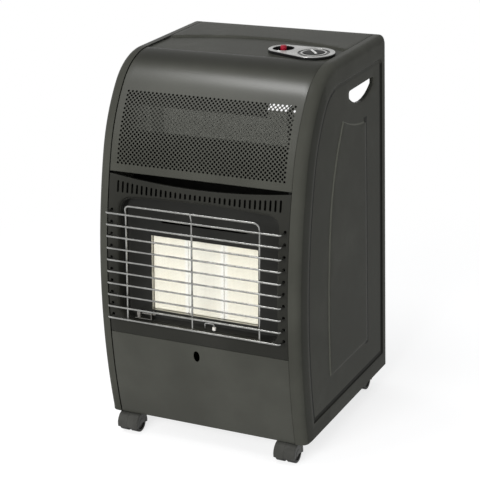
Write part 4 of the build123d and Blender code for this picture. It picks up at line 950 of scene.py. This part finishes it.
def make_fascia():
    """Fascia: lip, vent slots that follow it, guard holes and the drawn burner opening.

    The opening's edge rolls in over a quarter circle and runs back with a draw of
    eight degrees to the reflector pan.
    """
    shell = Shell()
    pattern, normals = panel_pattern(FASCIA_FOOT, lambda x: panel_run(lip_height(x)), 72, 44)
    base = opening_loop()
    away = outwards(base)
    surface = []
    for t in quarter(9):
        moved = (base + away * (draw_at(SKIN_OUT) + COLLAR_ROLL * (1 - sin(t)))).T
        front = skin_out(*moved) - COLLAR_ROLL * (1 - cos(t))
        surface.append(burner_point(*moved, front))
    for t in np.linspace(0.15, 1, 6):
        depth = front * (1 - t) + COLLAR_OUT * t
        moved = base + away * draw_at(depth + COLLAR_ROLL)[:, None]
        surface.append(burner_point(*moved.T, depth))
    shell.grid(surface)

    loops = [surface[0][:, ::2]]
    half, turn = 2.1, np.radians(np.linspace(0, 180, 6))
    bow = half * xy(np.cos(turn), np.sin(turn))
    for centre in np.linspace(-166.5, 166.5, bpy.context.scene.heater_sizes.slot_count):
        high = float(lip_height(centre, 9.0)) - half
        loops.append(np.concatenate([bow + (centre, high), (centre, 493.0 + half) - bow]))
    for wire in range(WIRES):
        z = GUARD_FOOT[1] + wire * WIRE_PITCH * cos(LEAN) - 10.0 * sin(LEAN)
        loops += [circle(side * GUARD_HALF, z, 2.9, 14) for side in (-1, 1)]
    holes = [xy(loop[:, 0], panel_run(loop[:, 1])) for loop in loops]
    shell.region(panel_place, pattern, holes, inner_grid(pattern, holes[:1], 12.0, 6.0), 1.6)
    turned_edge(shell, pattern, normals)
    piece = shell.build("front_fascia_shell", "cabinet_paint", "cabinet",
                        facing=(0, -1, 0), wall=1.0, finish="fascia_paint")
    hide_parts("front_fascia")


def make_reflector():
    """Reflector pan: a backplate with a window for the plaques and a long slot, and a
    wall that flares by eight degrees to the fascia's collar."""
    shell = Shell()
    base = opening_loop()
    away = outwards(base)
    back, bend, face = 13.0, 4.0, 9.0
    wall = [(draw_at(out), out) for out in (26.05, 20.0, 14.0)]
    wall += [(draw_at(back) - bend * (1 - cos(t)), back - bend * sin(t)) for t in quarter(6)]
    shell.grid([burner_point(*(base + away * grow).T, out) for grow, out in wall])
    floor_loop = base + away * (draw_at(back) - bend)
    holes = [box_loop(*WINDOW, 1.0, 3, 12), box_loop(-89.0, 89.0, 173.0, 180.0, 3.4, 5, 8)]
    shell.region(lambda x, up: burner_point(x, up, face), floor_loop, holes,
                 inner_grid(floor_loop, holes, 16.0, 12.0), 4.0)
    piece = shell.build("burner_reflector_shell", "dark_steel", "cabinet",
                        facing=(0, -1, 0), wall=1.0)
    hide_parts("burner_reflector")


def make_plaques():
    """Three ceramic plaques: rounded front edges, a plain border and the ported field."""
    half, high, edge = 36.7, 146.0, 1.2
    rings = [(0.0, -12.0), (0.0, -edge)]
    rings += [(edge * (1 - cos(t)), -edge + edge * sin(t)) for t in np.radians([30, 60, 90])]
    rings += [(3.6, 0.0), (4.1, -0.35), (4.6, -0.35)]
    for name, x in (("left", -74.4), ("middle", 0.0), ("right", 74.4)):
        shell = Shell()
        loops = [box_loop(x - (half - inset), x + (half - inset), inset, high - inset, 1.0, 3, 10)
                 for inset, _ in rings]
        shell.grid([burner_point(*loop.T, out) for loop, (_, out) in zip(loops, rings)])
        for end in (0, -1):
            shell.region(lambda x, up: burner_point(x, up, rings[end][1]), loops[end])
        piece = shell.build(f"ceramic_plaque_{name}_block", "plaque_ceramic", "cabinet")
        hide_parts(f"ceramic_plaque_{name}")


def make_frame():
    """Bright rim round the plaques: a rectangular section with rounded edges carried
    round a rectangle."""
    shell = Shell()
    left, right, low, high = WINDOW
    surface = []
    for grow, out in box_loop(0.05, 2.55, -12.2, 7.7, 0.6, 3, 3):
        loop = box_loop(left - grow, right + grow, low - grow, high + grow, 0.8 + grow, 4, 10)
        surface.append(burner_point(*loop.T, out))
    shell.grid(surface, wrap_u=True)
    piece = shell.build("plaque_frame_rim", "frame_steel", "cabinet")
    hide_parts("plaque_frame")


def make_guard():
    """Welded wire guard: round wires carried along bent paths, and at each crossing a
    small weld whose radius swells as a squashed sphere."""
    shell = Shell()
    radius = bpy.context.scene.heater_sizes.wire_radius / MM

    def wire(points, bend):
        corners = [leaning(GUARD_FOOT, *point) for point in points]
        shell.grid(tube(fillet_path(corners, bend), radius))

    for k in range(WIRES):
        up, inwards = k * WIRE_PITCH, -27.0
        wire([(-GUARD_HALF, up, inwards), (-GUARD_HALF, up, 0.0), (GUARD_HALF, up, 0.0),
              (GUARD_HALF, up, inwards)], 4.5)
    foot, deep, front = -2.75, -3.4, 1.2
    last = (WIRES - 1) * WIRE_PITCH
    knee, top = last + 4.0, last + 17.7
    half = [(foot, deep), (knee, deep), (top, front)]
    wire([(-UPRIGHT_X, *point) for point in half]
         + [(UPRIGHT_X, *point) for point in half[::-1]], 10.0)
    wire([(0.0, *point) for point in half], 10.0)

    polar, turn = np.linspace(0, pi, 6)[:, None], full_turn(10)
    ball = xyz(np.sin(polar) * np.cos(turn), np.sin(polar) * np.sin(turn), np.cos(polar))
    for k in range(WIRES):
        for x in (-UPRIGHT_X, 0.0, UPRIGHT_X):
            centre = leaning(GUARD_FOOT, x, k * WIRE_PITCH, deep / 2)
            shell.grid(ball * (2.5, 1.7, 2.3) + centre)
    shell.grid(ball * (2.4, 1.9, 1.9) + leaning(GUARD_FOOT, 0.0, top, front))
    piece = shell.build("wire_guard_welded", "guard_chrome", "cabinet")
    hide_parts("wire_guard", "guard_bow", "guard_upright")


# ------------------------------------------------------------------- top and controls
def make_top_cover():
    """Top cover: a low tray whose rear deck rises by half a cosine wave along an arc,
    rounds down at the back and has a skirt on the other sides."""
    shell = Shell()
    bend_round, rise, edge, front = 9.0, 3.0, 1.2, -8.2
    bend = REAR - 0.25 - bend_round
    bend_end = bend + bend_round * pi / 2
    end = bend_end + 3.0
    side, middle = 82.0, 124.0           # y of the deck's front edge at the sides and middle

    def deck_edge(x):
        return middle - sag(x, PANEL_HALF, middle - side)

    def place(x, t, depth=0.0):
        """t runs along y, then round the rear bend and down; depth moves inwards."""
        angle = np.clip((t - bend) / bend_round, 0, pi / 2)
        deck = DECK + rise * ease((t - deck_edge(x) + 1.6) / 3.2)
        over = np.clip(t - bend_end, 0, None)
        y = np.minimum(t, bend) + (bend_round - depth) * np.sin(angle)
        round_z = DECK + rise - bend_round + (bend_round - depth) * np.cos(angle) - over
        return xyz(x, y, np.where(t < bend, deck - depth, round_z))

    half = PANEL_HALF - edge
    x = np.linspace(-half, half, 61)
    up = np.concatenate([
        np.linspace(front + edge, 80.0, 14, endpoint=False),
        np.linspace(80.0, bend, 20, endpoint=False),
        np.linspace(bend, bend_end, 10, endpoint=False), [bend_end, end]])
    pattern, normals = border(x, up, front + edge, end)
    depths = np.repeat([1.0, 1.0, 0.0, 1.0], [60, len(up) - 1] * 2)
    holes = [circle(*DIAL, 22.6, 48), circle(*BUTTON, 21.9, 48)]
    lines = [xy(x[1:-1], deck_edge(x[1:-1]) + shift) for shift in np.linspace(-1.7, 1.7, 9)]
    grid_x, grid_t = np.meshgrid(np.linspace(-half + 8, half - 8, 30), np.concatenate([
        np.arange(0.0, 212.0, 12.0), np.linspace(bend, bend_end, 10)]))
    spots = xy(grid_x.ravel(), grid_t.ravel())
    keep = np.abs(spots[:, 1] - deck_edge(spots[:, 0])) > 4.0
    for hole in holes:
        keep &= ~inside(spots, hole)
    shell.region(place, pattern, holes, spots[keep], 1.0, lines)
    surface = []
    for t in quarter(5):
        moved = pattern + normals * edge * sin(t)
        moved[:, 1] = np.minimum(moved[:, 1], end)
        surface.append(place(*moved.T, edge * (1 - cos(t)) * depths))
    surface.append(place(*moved.T, edge + 8.0 * depths))
    shell.grid(surface)
    piece = shell.build("top_cover_shell", "cabinet_paint", "cabinet",
                        facing=(0, 0, 1), wall=0.9, finish="deck_paint")
    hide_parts("top_cover")


def bezel_loop(inset, count=40):
    """Loop round the dial's and the button's circle, both radii shortened by inset.

    The straight sides touch both circles, at the angle whose cosine is the radii's
    difference over the centres' distance.
    """
    gap = BUTTON - DIAL
    heading = atan2(gap[1], gap[0])
    swing = acos((DIAL_ROUND - BUTTON_ROUND) / np.hypot(*gap))
    low, high = np.degrees([heading - swing, heading + swing])
    wide, narrow = DIAL_ROUND - inset, BUTTON_ROUND - inset
    around = [arc(DIAL, wide, high, low + 360, count), arc(BUTTON, narrow, low, high, count)]
    sides = []
    for angle, start, end in ((low, (DIAL, wide), (BUTTON, narrow)),
                              (high, (BUTTON, narrow), (DIAL, wide))):
        way = np.array([cos(radians(angle)), sin(radians(angle))])
        sides.append(line(start[0] + start[1] * way, end[0] + end[1] * way, 8))
    return np.concatenate([around[0], sides[0], around[1], sides[1]])


def make_bezel():
    """Control bezel: the hull of two circles with a rounded top edge, a stepped dial
    with a raised ring and a well for the knob, and a well for the button."""
    shell = Shell()
    low, top, edge, floor, under = DECK + 0.25, BEZEL_TOP, 2.0, 720.2, 719.0
    face = top - 0.35
    rings = [(0.0, low), (0.0, top - edge)]
    rings += [(edge * (1 - cos(t)), top - edge + edge * sin(t)) for t in quarter(6)[1:]]
    rings += [(2.6, top), (3.1, face), (3.6, face)]
    shell.grid([xyz(*bezel_loop(inset).T, z) for inset, z in rings])
    dial = [(30.6, face), (30.3, top - 0.5), (30.0, top - 0.9), (30.0, top - 1.6),
            (25.4, top - 1.6), (25.0, top - 1.3), (24.4, top - 0.2), (23.8, top), (22.0, top),
            (21.4, top - 0.2), (20.9, top - 0.9), (20.9, floor), (4.5, floor), (4.5, under),
            (22.1, under), (22.1, low)]
    shell.grid(revolve(dial, (*DIAL, 0.0), count=72))
    well = [(22.0, face), (21.6, top), (20.9, top), (20.4, top - 0.3), (20.2, top - 1.0),
            (20.2, floor), (5.1, floor), (5.1, under), (21.4, under), (21.4, low)]
    shell.grid(revolve(well, (*BUTTON, 0.0), count=72))
    for z, inset, radii in ((face, 3.6, (30.6, 22.0)), (low, 0.0, (22.1, 21.4))):
        holes = [circle(*centre, radius, 72) for centre, radius in zip((DIAL, BUTTON), radii)]
        shell.region(lambda x, y: xyz(x, y, z), bezel_loop(inset), holes)
    piece = shell.build("control_bezel_shell", "bezel_silver", "cabinet")
    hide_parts("control_bezel")


def make_knob():
    """Control knob, a turned profile with a slightly crowned face, and its pointer bar,
    an oval whose upper edge is a flattened quarter circle."""
    shell = Shell()
    top, radius, bore = 733.85, 20.4, 4.06
    profile = [(radius * t, top - 0.5 * (t**2)) for t in np.linspace(0.0, 0.93, 9)]
    profile += [(19.6, top - 0.75), (20.1, top - 1.2), (radius, top - 2.0), (radius, 725.2),
                (19.8, 724.6), (bore, 724.6), (bore, 730.6), (0.0, 730.6)]
    shell.grid(revolve(profile, (*DIAL, 0.0), count=96))
    piece = shell.build("control_knob_disc", "knob_black", "knob")
    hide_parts("control_knob")

    shell = Shell()
    turn, reach, half, low, high = radians(-49.0), 13.5, 2.5, 732.6, 734.2
    rings = [(0.0, low), (0.0, high)]
    rings += [(1.1 * (1 - cos(t)), high + 1.25 * sin(t)) for t in np.radians([20, 40, 60, 80, 90])]
    surface = []
    for inset, z in rings:
        loop = np.concatenate([arc((reach, 0), half - inset, -90, 90, 12),
                               arc((-reach, 0), half - inset, 90, 270, 12)])
        x = DIAL[0] + loop[:, 0] * cos(turn) - loop[:, 1] * sin(turn)
        y = DIAL[1] + loop[:, 0] * sin(turn) + loop[:, 1] * cos(turn)
        surface.append(xyz(x, y, z))
    shell.grid(surface)
    for end in (surface[0], surface[-1]):
        shell.region(lambda x, y: xyz(x, y, end[0, 2]), end[:, :2])
    piece = shell.build("knob_pointer_bar", "pointer_silver", "knob")
    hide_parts("knob_pointer")


def make_button():
    """Igniter button: a turned profile with a rounded crown."""
    shell = Shell()
    high, radius, stem, collar = 739.25, 5.8, 4.6, 726.6
    profile = [(radius * sin(t), high - 1.4 * (1 - cos(t)))
               for t in np.linspace(0, pi / 2 * 0.8, 8)]
    profile += [(radius, high - 1.7), (radius, collar), (stem, collar), (stem, 688.4), (0.0, 688.4)]
    shell.grid(revolve(profile, (*BUTTON, 0.0), count=48))
    piece = shell.build("igniter_button_cap", "button_red", "button")
    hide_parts("igniter_button")


def make_pilot():
    """Pilot burner, thermocouple, electrode and its insulator on the pan's floor: turned
    profiles, and round bars carried along their paths."""
    shell = Shell()
    profile = [(0.0, 251.2), (4.8, 251.2), (4.8, 253.4), (4.2, 254.0), (4.2, 255.2),
               (4.8, 255.8), (4.8, 261.4), (4.3, 263.0), (3.2, 264.1), (1.6, 264.5), (0.0, 264.5)]
    shell.grid(revolve(profile, (-132.0, -187.0, 0.0), count=32))
    piece = shell.build("pilot_burner_head", "brass", "cabinet", finish="pilot_steel")
    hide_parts("pilot_burner")

    shell = Shell()
    shell.grid(tube(xyz(np.linspace(-125.0, -96.6, 12), -187.0, 259.0), 1.5, 16))
    piece = shell.build("thermocouple_rod", "pipe_steel", "cabinet", finish="pilot_steel")
    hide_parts("thermocouple")

    shell = Shell()
    post, spark, y, top = 29.0, 10.0, -189.5, 260.5
    corners = [(post, y, 252.6), (post, y, top), (spark, y, top), (spark, y, 250.5)]
    shell.grid(tube(fillet_path(corners, 3.0), 0.9, 12))
    piece = shell.build("spark_electrode_wire", "pipe_steel", "cabinet")
    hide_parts("spark_electrode")

    shell = Shell()
    profile = [(0.0, 249.0), (3.4, 249.0), (3.4, 251.0), (2.9, 251.4), (3.4, 251.8),
               (3.4, 254.0), (2.8, 254.8), (1.4, 255.0), (1.0, 254.6), (0.0, 254.6)]
    shell.grid(revolve(profile, (post, y, 0.0), count=32))
    piece = shell.build("electrode_insulator_post", "insulator_ceramic", "cabinet")
    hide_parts("electrode_insulator")


# ------------------------------------------------------------------------- casters
CASTERS = (("front_left", -168.0, -160.0), ("front_right", 168.0, -160.0),
           ("rear_left", -168.0, 185.0), ("rear_right", 168.0, 185.0))


def make_caster(name, x, y):
    """One twin-wheel caster: a hood that is a drum cut off near the floor, its boss and
    stem, the axle, and two wheels with rounded treads and dished faces.

    A point of the hood lies at the axle plus the profile's reach along a ray, no lower
    than the cut.
    """
    body = f"caster_{name}"
    wheel_y, wheel_z, half, radius, cut, edge = y - 16.0, 18.5, 21.8, 21.5, 13.0, 1.8
    shell = Shell()
    begin = asin((cut - wheel_z) / radius)
    turn = np.linspace(begin, pi - begin, 49)[:, None]
    section = [(0.0, -half), (9.0, -half), (9.6, -half + 0.5), (14.5, -half + 0.5),
               (15.1, -half), (radius - edge, -half)]
    section += [(radius - edge + edge * sin(t), -half + edge * (1 - cos(t)))
                for t in np.radians([30, 60, 90])]
    section = np.array(section + [(radius, -1.4), (radius - 0.5, -1.0), (radius - 0.5, 0.0)])
    reach, across = np.concatenate([section, section[::-1][1:] * (1, -1)]).T
    surface = xyz(x + across, wheel_y + reach * np.cos(turn), wheel_z + reach * np.sin(turn))
    surface[..., 2] = np.maximum(surface[..., 2], cut)
    shell.grid(surface, wrap_v=False)
    piece = shell.build(f"{body}_hood", "caster_plastic", body, facing=(0, 0, 1), wall=1.6)
    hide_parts(f"{body}_housing")

    shell = Shell()
    boss = [(0.0, 21.0), (9.0, 21.0), (9.0, 38.6), (8.2, 40.0), (5.0, 40.0), (5.0, 57.2),
            (4.2, 58.0), (0.0, 58.0)]
    shell.grid(revolve(boss, (x, y, 0.0), count=32))
    web = rounded([(wheel_y - 15.0, 14.0), (wheel_y + 22.0, 14.0), (wheel_y + 22.0, 34.0),
                   (wheel_y - 8.0, 34.0)], [4.0] * 4, 4, 6)
    faces = (x - 2.8, x + 2.8)
    shell.grid([xyz(face, *web.T) for face in faces])
    for face in faces:
        shell.region(lambda a, b: xyz(face, a, b), web)
    piece = shell.build(f"{body}_stem", "caster_plastic", body)
    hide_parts(f"{body}_housing")

    tread, rim = 17.3, 1.2
    bevel = [(rim * sin(t), rim * (1 - cos(t))) for t in np.radians([30, 60, 90])]
    profile = [(3.06, 0.0), (tread, 0.0), *[(tread + a, b) for a, b in bevel], (18.5, 15.0)]
    profile += [(tread + rim * cos(t), 15.0 + rim * sin(t)) for t in np.radians([30, 60, 90])]
    profile += [(13.4, 16.2), (13.0, 15.8), (13.0, 14.0), (6.4, 14.0), (6.0, 14.5),
                (6.0, 15.4), (3.06, 15.4), (3.06, 0.0)]
    for side, sign in (("left", -1), ("right", 1)):
        shell = Shell()
        turned = [(reach, sign * along) for reach, along in profile]
        shell.grid(revolve(turned, (x + sign * 3.4, wheel_y, wheel_z), "x", 56))
        wheel = f"wheel_{name}_{side}"
        piece = shell.build(f"{wheel}_disc", "wheel_plastic", wheel)
        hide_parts(f"caster_{name}_wheel_{side}")


# ---------------------------------------------------------------------------- stage
# Camera: place, turn about Z, tilt down and roll in radians, focal length in pixels.
CAMERA_PLACE, CAMERA_TURNS, CAMERA_FOCUS = (
    (1.3137, -2.5902, 1.4193), (0.471615, 0.350186, -0.0357149), 1596.513)
FRAME_WIDTH = 480.0                      # pixels

# Lamp: place, aim, width and height in metres, watts, whether glossy surfaces show it.
LAMPS = {
    "key_lamp": ((-0.10, -3.10, 1.35), (0, 0, 0.4), (2.0, 2.0), 94, False),
    "top_lamp": ((-0.66, -0.48, 2.60), (0, -0.05, 0.68), (1.2, 0.42), 17, True),
    "right_fill": ((2.75, -0.45, 0.90), (0, 0, 0.4), (1.6, 1.6), 22, False),
    "left_fill": ((-2.60, 1.20, 1.00), (0, 0, 0.4), (1.6, 1.6), 22, False),
}
WORLD_LEVEL = 0.34
FLOOR_GLOW, FLOOR_FADE = 0.72, (0.55, 1.35)


def make_camera():
    yaw, pitch, roll = CAMERA_TURNS
    ahead = np.array([-sin(yaw) * cos(pitch), cos(yaw) * cos(pitch), -sin(pitch)])
    right = np.array([cos(yaw), sin(yaw), 0.0])
    up = np.cross(right, ahead)
    across = right * cos(roll) + up * sin(roll)
    upright = -right * sin(roll) + up * cos(roll)
    data = bpy.data.cameras.new("camera")
    data.sensor_width, data.lens = 36.0, CAMERA_FOCUS * 36.0 / FRAME_WIDTH
    data.clip_start, data.clip_end = 0.05, 60.0
    camera = bpy.data.objects.new("camera", data)
    turned = np.stack([across, upright, -ahead], -1)
    rows = [[*row, place] for row, place in zip(turned, CAMERA_PLACE)]
    camera.matrix_world = Matrix(rows + [[0, 0, 0, 1]])
    bpy.context.scene.collection.objects.link(camera)
    bpy.context.scene.camera = camera


def background_rays(net):
    """1 for camera, glossy and transmission rays, 0 for the others."""
    camera, glossy, clear = (net.node("LightPath", out=f"Is {kind} Ray")
                             for kind in ("Camera", "Glossy", "Transmission"))
    return (camera + glossy + clear).minimum(1.0)


def make_floor():
    """Floor: a disc in rings, whose material fades to white away from the heater."""
    rings = [(reach, 0.0) for reach in (0.001, 200.0, 500.0, 1000.0, 2200.0, 5000.0, 20000.0)]
    shell = Shell()
    shell.grid(revolve(rings, (0, 0, 0), count=64))
    mesh = bpy.data.meshes.new("floor")
    mesh.from_pydata((shell.points[0] * MM).tolist(), [], shell.faces)
    floor = bpy.data.objects.new("floor", mesh)
    bpy.context.scene.collection.objects.link(floor)
    material = bpy.data.materials.new("floor_paper")
    net = Net(material)
    x, y, _ = net.split(net.place())
    far = ((x * x + y * y) ** 0.5).ramp(*FLOOR_FADE)
    shown = background_rays(net)
    paper = net.blend(net.noise(180.0, 3.0) * 0.3, (0.42, 0.42, 0.42), (0.39, 0.39, 0.39))
    net.set(Base_Color=paper, Roughness=0.9, Specular_IOR_Level=0.1)
    plain = net.tree.nodes["Principled BSDF"].outputs[0]
    glow = net.node("MixShader", {}, {
        0: shown, 2: net.node("Emission", {}, {"Strength": FLOOR_GLOW})})
    near = net.node("AddShader", {}, {0: plain, 1: glow})
    white = net.node("Emission", {}, {"Strength": 1.0})
    surface = net.node("MixShader", {}, {0: far * shown, 1: near, 2: white})
    net.feed(net.tree.nodes["Material Output"], "Surface", surface)
    mesh.materials.append(material)


def make_stage():
    """Camera, lamps, white surroundings and a pale floor that fades into them."""
    scene = bpy.context.scene
    level = scene.heater_looks.light_level
    make_camera()
    for name, (place, aim, size, power, mirrored) in LAMPS.items():
        light = bpy.data.lights.new(name, "AREA")
        light.shape, light.size, light.size_y, light.energy = "ELLIPSE", *size, power * level
        lamp = bpy.data.objects.new(name, light)
        lamp.location = place
        lamp.rotation_euler = (Vector(aim) - Vector(place)).to_track_quat("-Z", "Y").to_euler()
        lamp.visible_glossy = mirrored
        scene.collection.objects.link(lamp)
    scene.world = bpy.data.worlds.new("studio")
    net = Net(scene.world)
    net.tree.nodes.clear()
    dim = net.node("Background", {}, {
        "Color": (0.95, 0.97, 1.0), "Strength": WORLD_LEVEL * level})
    white = net.node("Background", {}, {"Color": (1.0, 1.0, 1.0), "Strength": 1.0})
    seen = net.node("MixShader", {}, {0: background_rays(net), 1: dim, 2: white})
    net.node("OutputWorld", {}, {"Surface": seen})
    make_floor()
    scene.view_settings.view_transform = "Standard"


# ------------------------------------------------------------- settings, operators
def colour_setting(name, description, default):
    return bpy.props.FloatVectorProperty(name=name, description=description, subtype="COLOR",
                                         size=3, min=0.0, max=1.0, default=default)


class HeaterSizes(bpy.types.PropertyGroup):
    """Sizes a user would change."""

    perforation_pitch: bpy.props.FloatProperty(
        name="Perforation pitch", description="Distance between the holes of one row",
        unit="LENGTH", default=0.0085, min=0.004, max=0.02)
    perforation_hole: bpy.props.FloatProperty(
        name="Perforation hole", description="Diameter of the holes", unit="LENGTH",
        default=0.0047, min=0.001, max=0.01)
    slot_count: bpy.props.IntProperty(
        name="Slots", description="Number of vent slots in the fascia", default=34,
        min=2, max=60)
    wire_radius: bpy.props.FloatProperty(
        name="Wire radius", description="Radius of the guard's wires", unit="LENGTH",
        default=0.00175, min=0.0005, max=0.0024)


class HeaterLooks(bpy.types.PropertyGroup):
    """Colours and light a user would change."""

    paint_colour: colour_setting(
        "Paint", "Colour of the cabinet's powder coat", (0.048, 0.0485, 0.041))
    fascia_colour: colour_setting(
        "Fascia", "Colour of the fascia's powder coat", (0.0200, 0.0200, 0.0170))
    plaque_colour: colour_setting(
        "Plaques", "Colour of the ceramic plaques", (0.93, 0.90, 0.775))
    guard_colour: colour_setting(
        "Guard", "Colour of the guard's plating", (0.37, 0.37, 0.355))
    button_colour: colour_setting(
        "Button", "Colour of the igniter button", (0.24, 0.006, 0.018))
    light_level: bpy.props.FloatProperty(
        name="Light level", description="Strength of the lamps", subtype="FACTOR",
        default=1.0, min=0.1, max=4.0)


class HEATER_OT_stage(bpy.types.Operator):
    """Make the camera, lamps, surroundings and floor"""

    bl_idname = "heater.stage"
    bl_label = "Stage"

    def execute(self, context):
        make_stage()
        return {"FINISHED"}


class HEATER_OT_side_panels(bpy.types.Operator):
    """Make both pressed side panels"""

    bl_idname = "heater.side_panels"
    bl_label = "Side panels"

    def execute(self, context):
        side_panel(1)
        side_panel(-1)
        return {"FINISHED"}


class HEATER_OT_lower_panel(bpy.types.Operator):
    """Make the lower front panel"""

    bl_idname = "heater.lower_panel"
    bl_label = "Lower panel"

    def execute(self, context):
        make_lower_panel()
        return {"FINISHED"}


class HEATER_OT_mesh_panel(bpy.types.Operator):
    """Make the perforated upper panel"""

    bl_idname = "heater.mesh_panel"
    bl_label = "Perforated panel"

    def execute(self, context):
        make_mesh_panel()
        return {"FINISHED"}


class HEATER_OT_fascia(bpy.types.Operator):
    """Make the fascia with its lip, slots and opening"""

    bl_idname = "heater.fascia"
    bl_label = "Fascia"

    def execute(self, context):
        make_fascia()
        return {"FINISHED"}


class HEATER_OT_reflector(bpy.types.Operator):
    """Make the reflector pan"""

    bl_idname = "heater.reflector"
    bl_label = "Reflector pan"

    def execute(self, context):
        make_reflector()
        return {"FINISHED"}


class HEATER_OT_plaques(bpy.types.Operator):
    """Make the ceramic plaques and the rim round them"""

    bl_idname = "heater.plaques"
    bl_label = "Plaques and rim"

    def execute(self, context):
        make_plaques()
        make_frame()
        return {"FINISHED"}


class HEATER_OT_guard(bpy.types.Operator):
    """Make the welded wire guard"""

    bl_idname = "heater.guard"
    bl_label = "Wire guard"

    def execute(self, context):
        make_guard()
        return {"FINISHED"}


class HEATER_OT_top_cover(bpy.types.Operator):
    """Make the top cover"""

    bl_idname = "heater.top_cover"
    bl_label = "Top cover"

    def execute(self, context):
        make_top_cover()
        return {"FINISHED"}


class HEATER_OT_controls(bpy.types.Operator):
    """Make the bezel, the knob with its pointer and the button"""

    bl_idname = "heater.controls"
    bl_label = "Controls"

    def execute(self, context):
        make_bezel()
        make_knob()
        make_button()
        return {"FINISHED"}


class HEATER_OT_pilot(bpy.types.Operator):
    """Make the pilot parts and the electrode"""

    bl_idname = "heater.pilot"
    bl_label = "Pilot and electrode"

    def execute(self, context):
        make_pilot()
        return {"FINISHED"}


class HEATER_OT_casters(bpy.types.Operator):
    """Make the four twin-wheel casters"""

    bl_idname = "heater.casters"
    bl_label = "Casters"

    def execute(self, context):
        for caster in CASTERS:
            make_caster(*caster)
        return {"FINISHED"}


class HEATER_OT_finishes(bpy.types.Operator):
    """Give every remaining node its finish"""

    bl_idname = "heater.finishes"
    bl_label = "Finishes"

    def execute(self, context):
        finish_nodes()
        return {"FINISHED"}


OPERATORS = (
    HEATER_OT_stage, HEATER_OT_side_panels, HEATER_OT_lower_panel, HEATER_OT_mesh_panel,
    HEATER_OT_fascia, HEATER_OT_reflector, HEATER_OT_plaques, HEATER_OT_guard,
    HEATER_OT_top_cover, HEATER_OT_controls, HEATER_OT_pilot, HEATER_OT_casters,
    HEATER_OT_finishes,
)


class HEATER_PT_panel(bpy.types.Panel):
    """Lists the settings and the operators in the sidebar."""

    bl_label = "Gas cabinet heater"
    bl_idname = "HEATER_PT_panel"
    bl_space_type = "VIEW_3D"
    bl_region_type = "UI"
    bl_category = "Heater"

    def draw(self, context):
        for group in (context.scene.heater_sizes, context.scene.heater_looks):
            for key in type(group).__annotations__:
                self.layout.prop(group, key)
        for cls in OPERATORS:
            self.layout.operator(cls.bl_idname)


CLASSES = (HeaterSizes, HeaterLooks, *OPERATORS, HEATER_PT_panel)


def register():
    for cls in CLASSES:
        bpy.utils.register_class(cls)
    bpy.types.Scene.heater_sizes = bpy.props.PointerProperty(type=HeaterSizes)
    bpy.types.Scene.heater_looks = bpy.props.PointerProperty(type=HeaterLooks)


def unregister():
    del bpy.types.Scene.heater_sizes, bpy.types.Scene.heater_looks
    for cls in reversed(CLASSES):
        bpy.utils.unregister_class(cls)


def main():
    register()
    for cls in OPERATORS:
        getattr(bpy.ops.heater, cls.bl_idname.split(".")[1])()


if __name__ == "__main__":
    main()
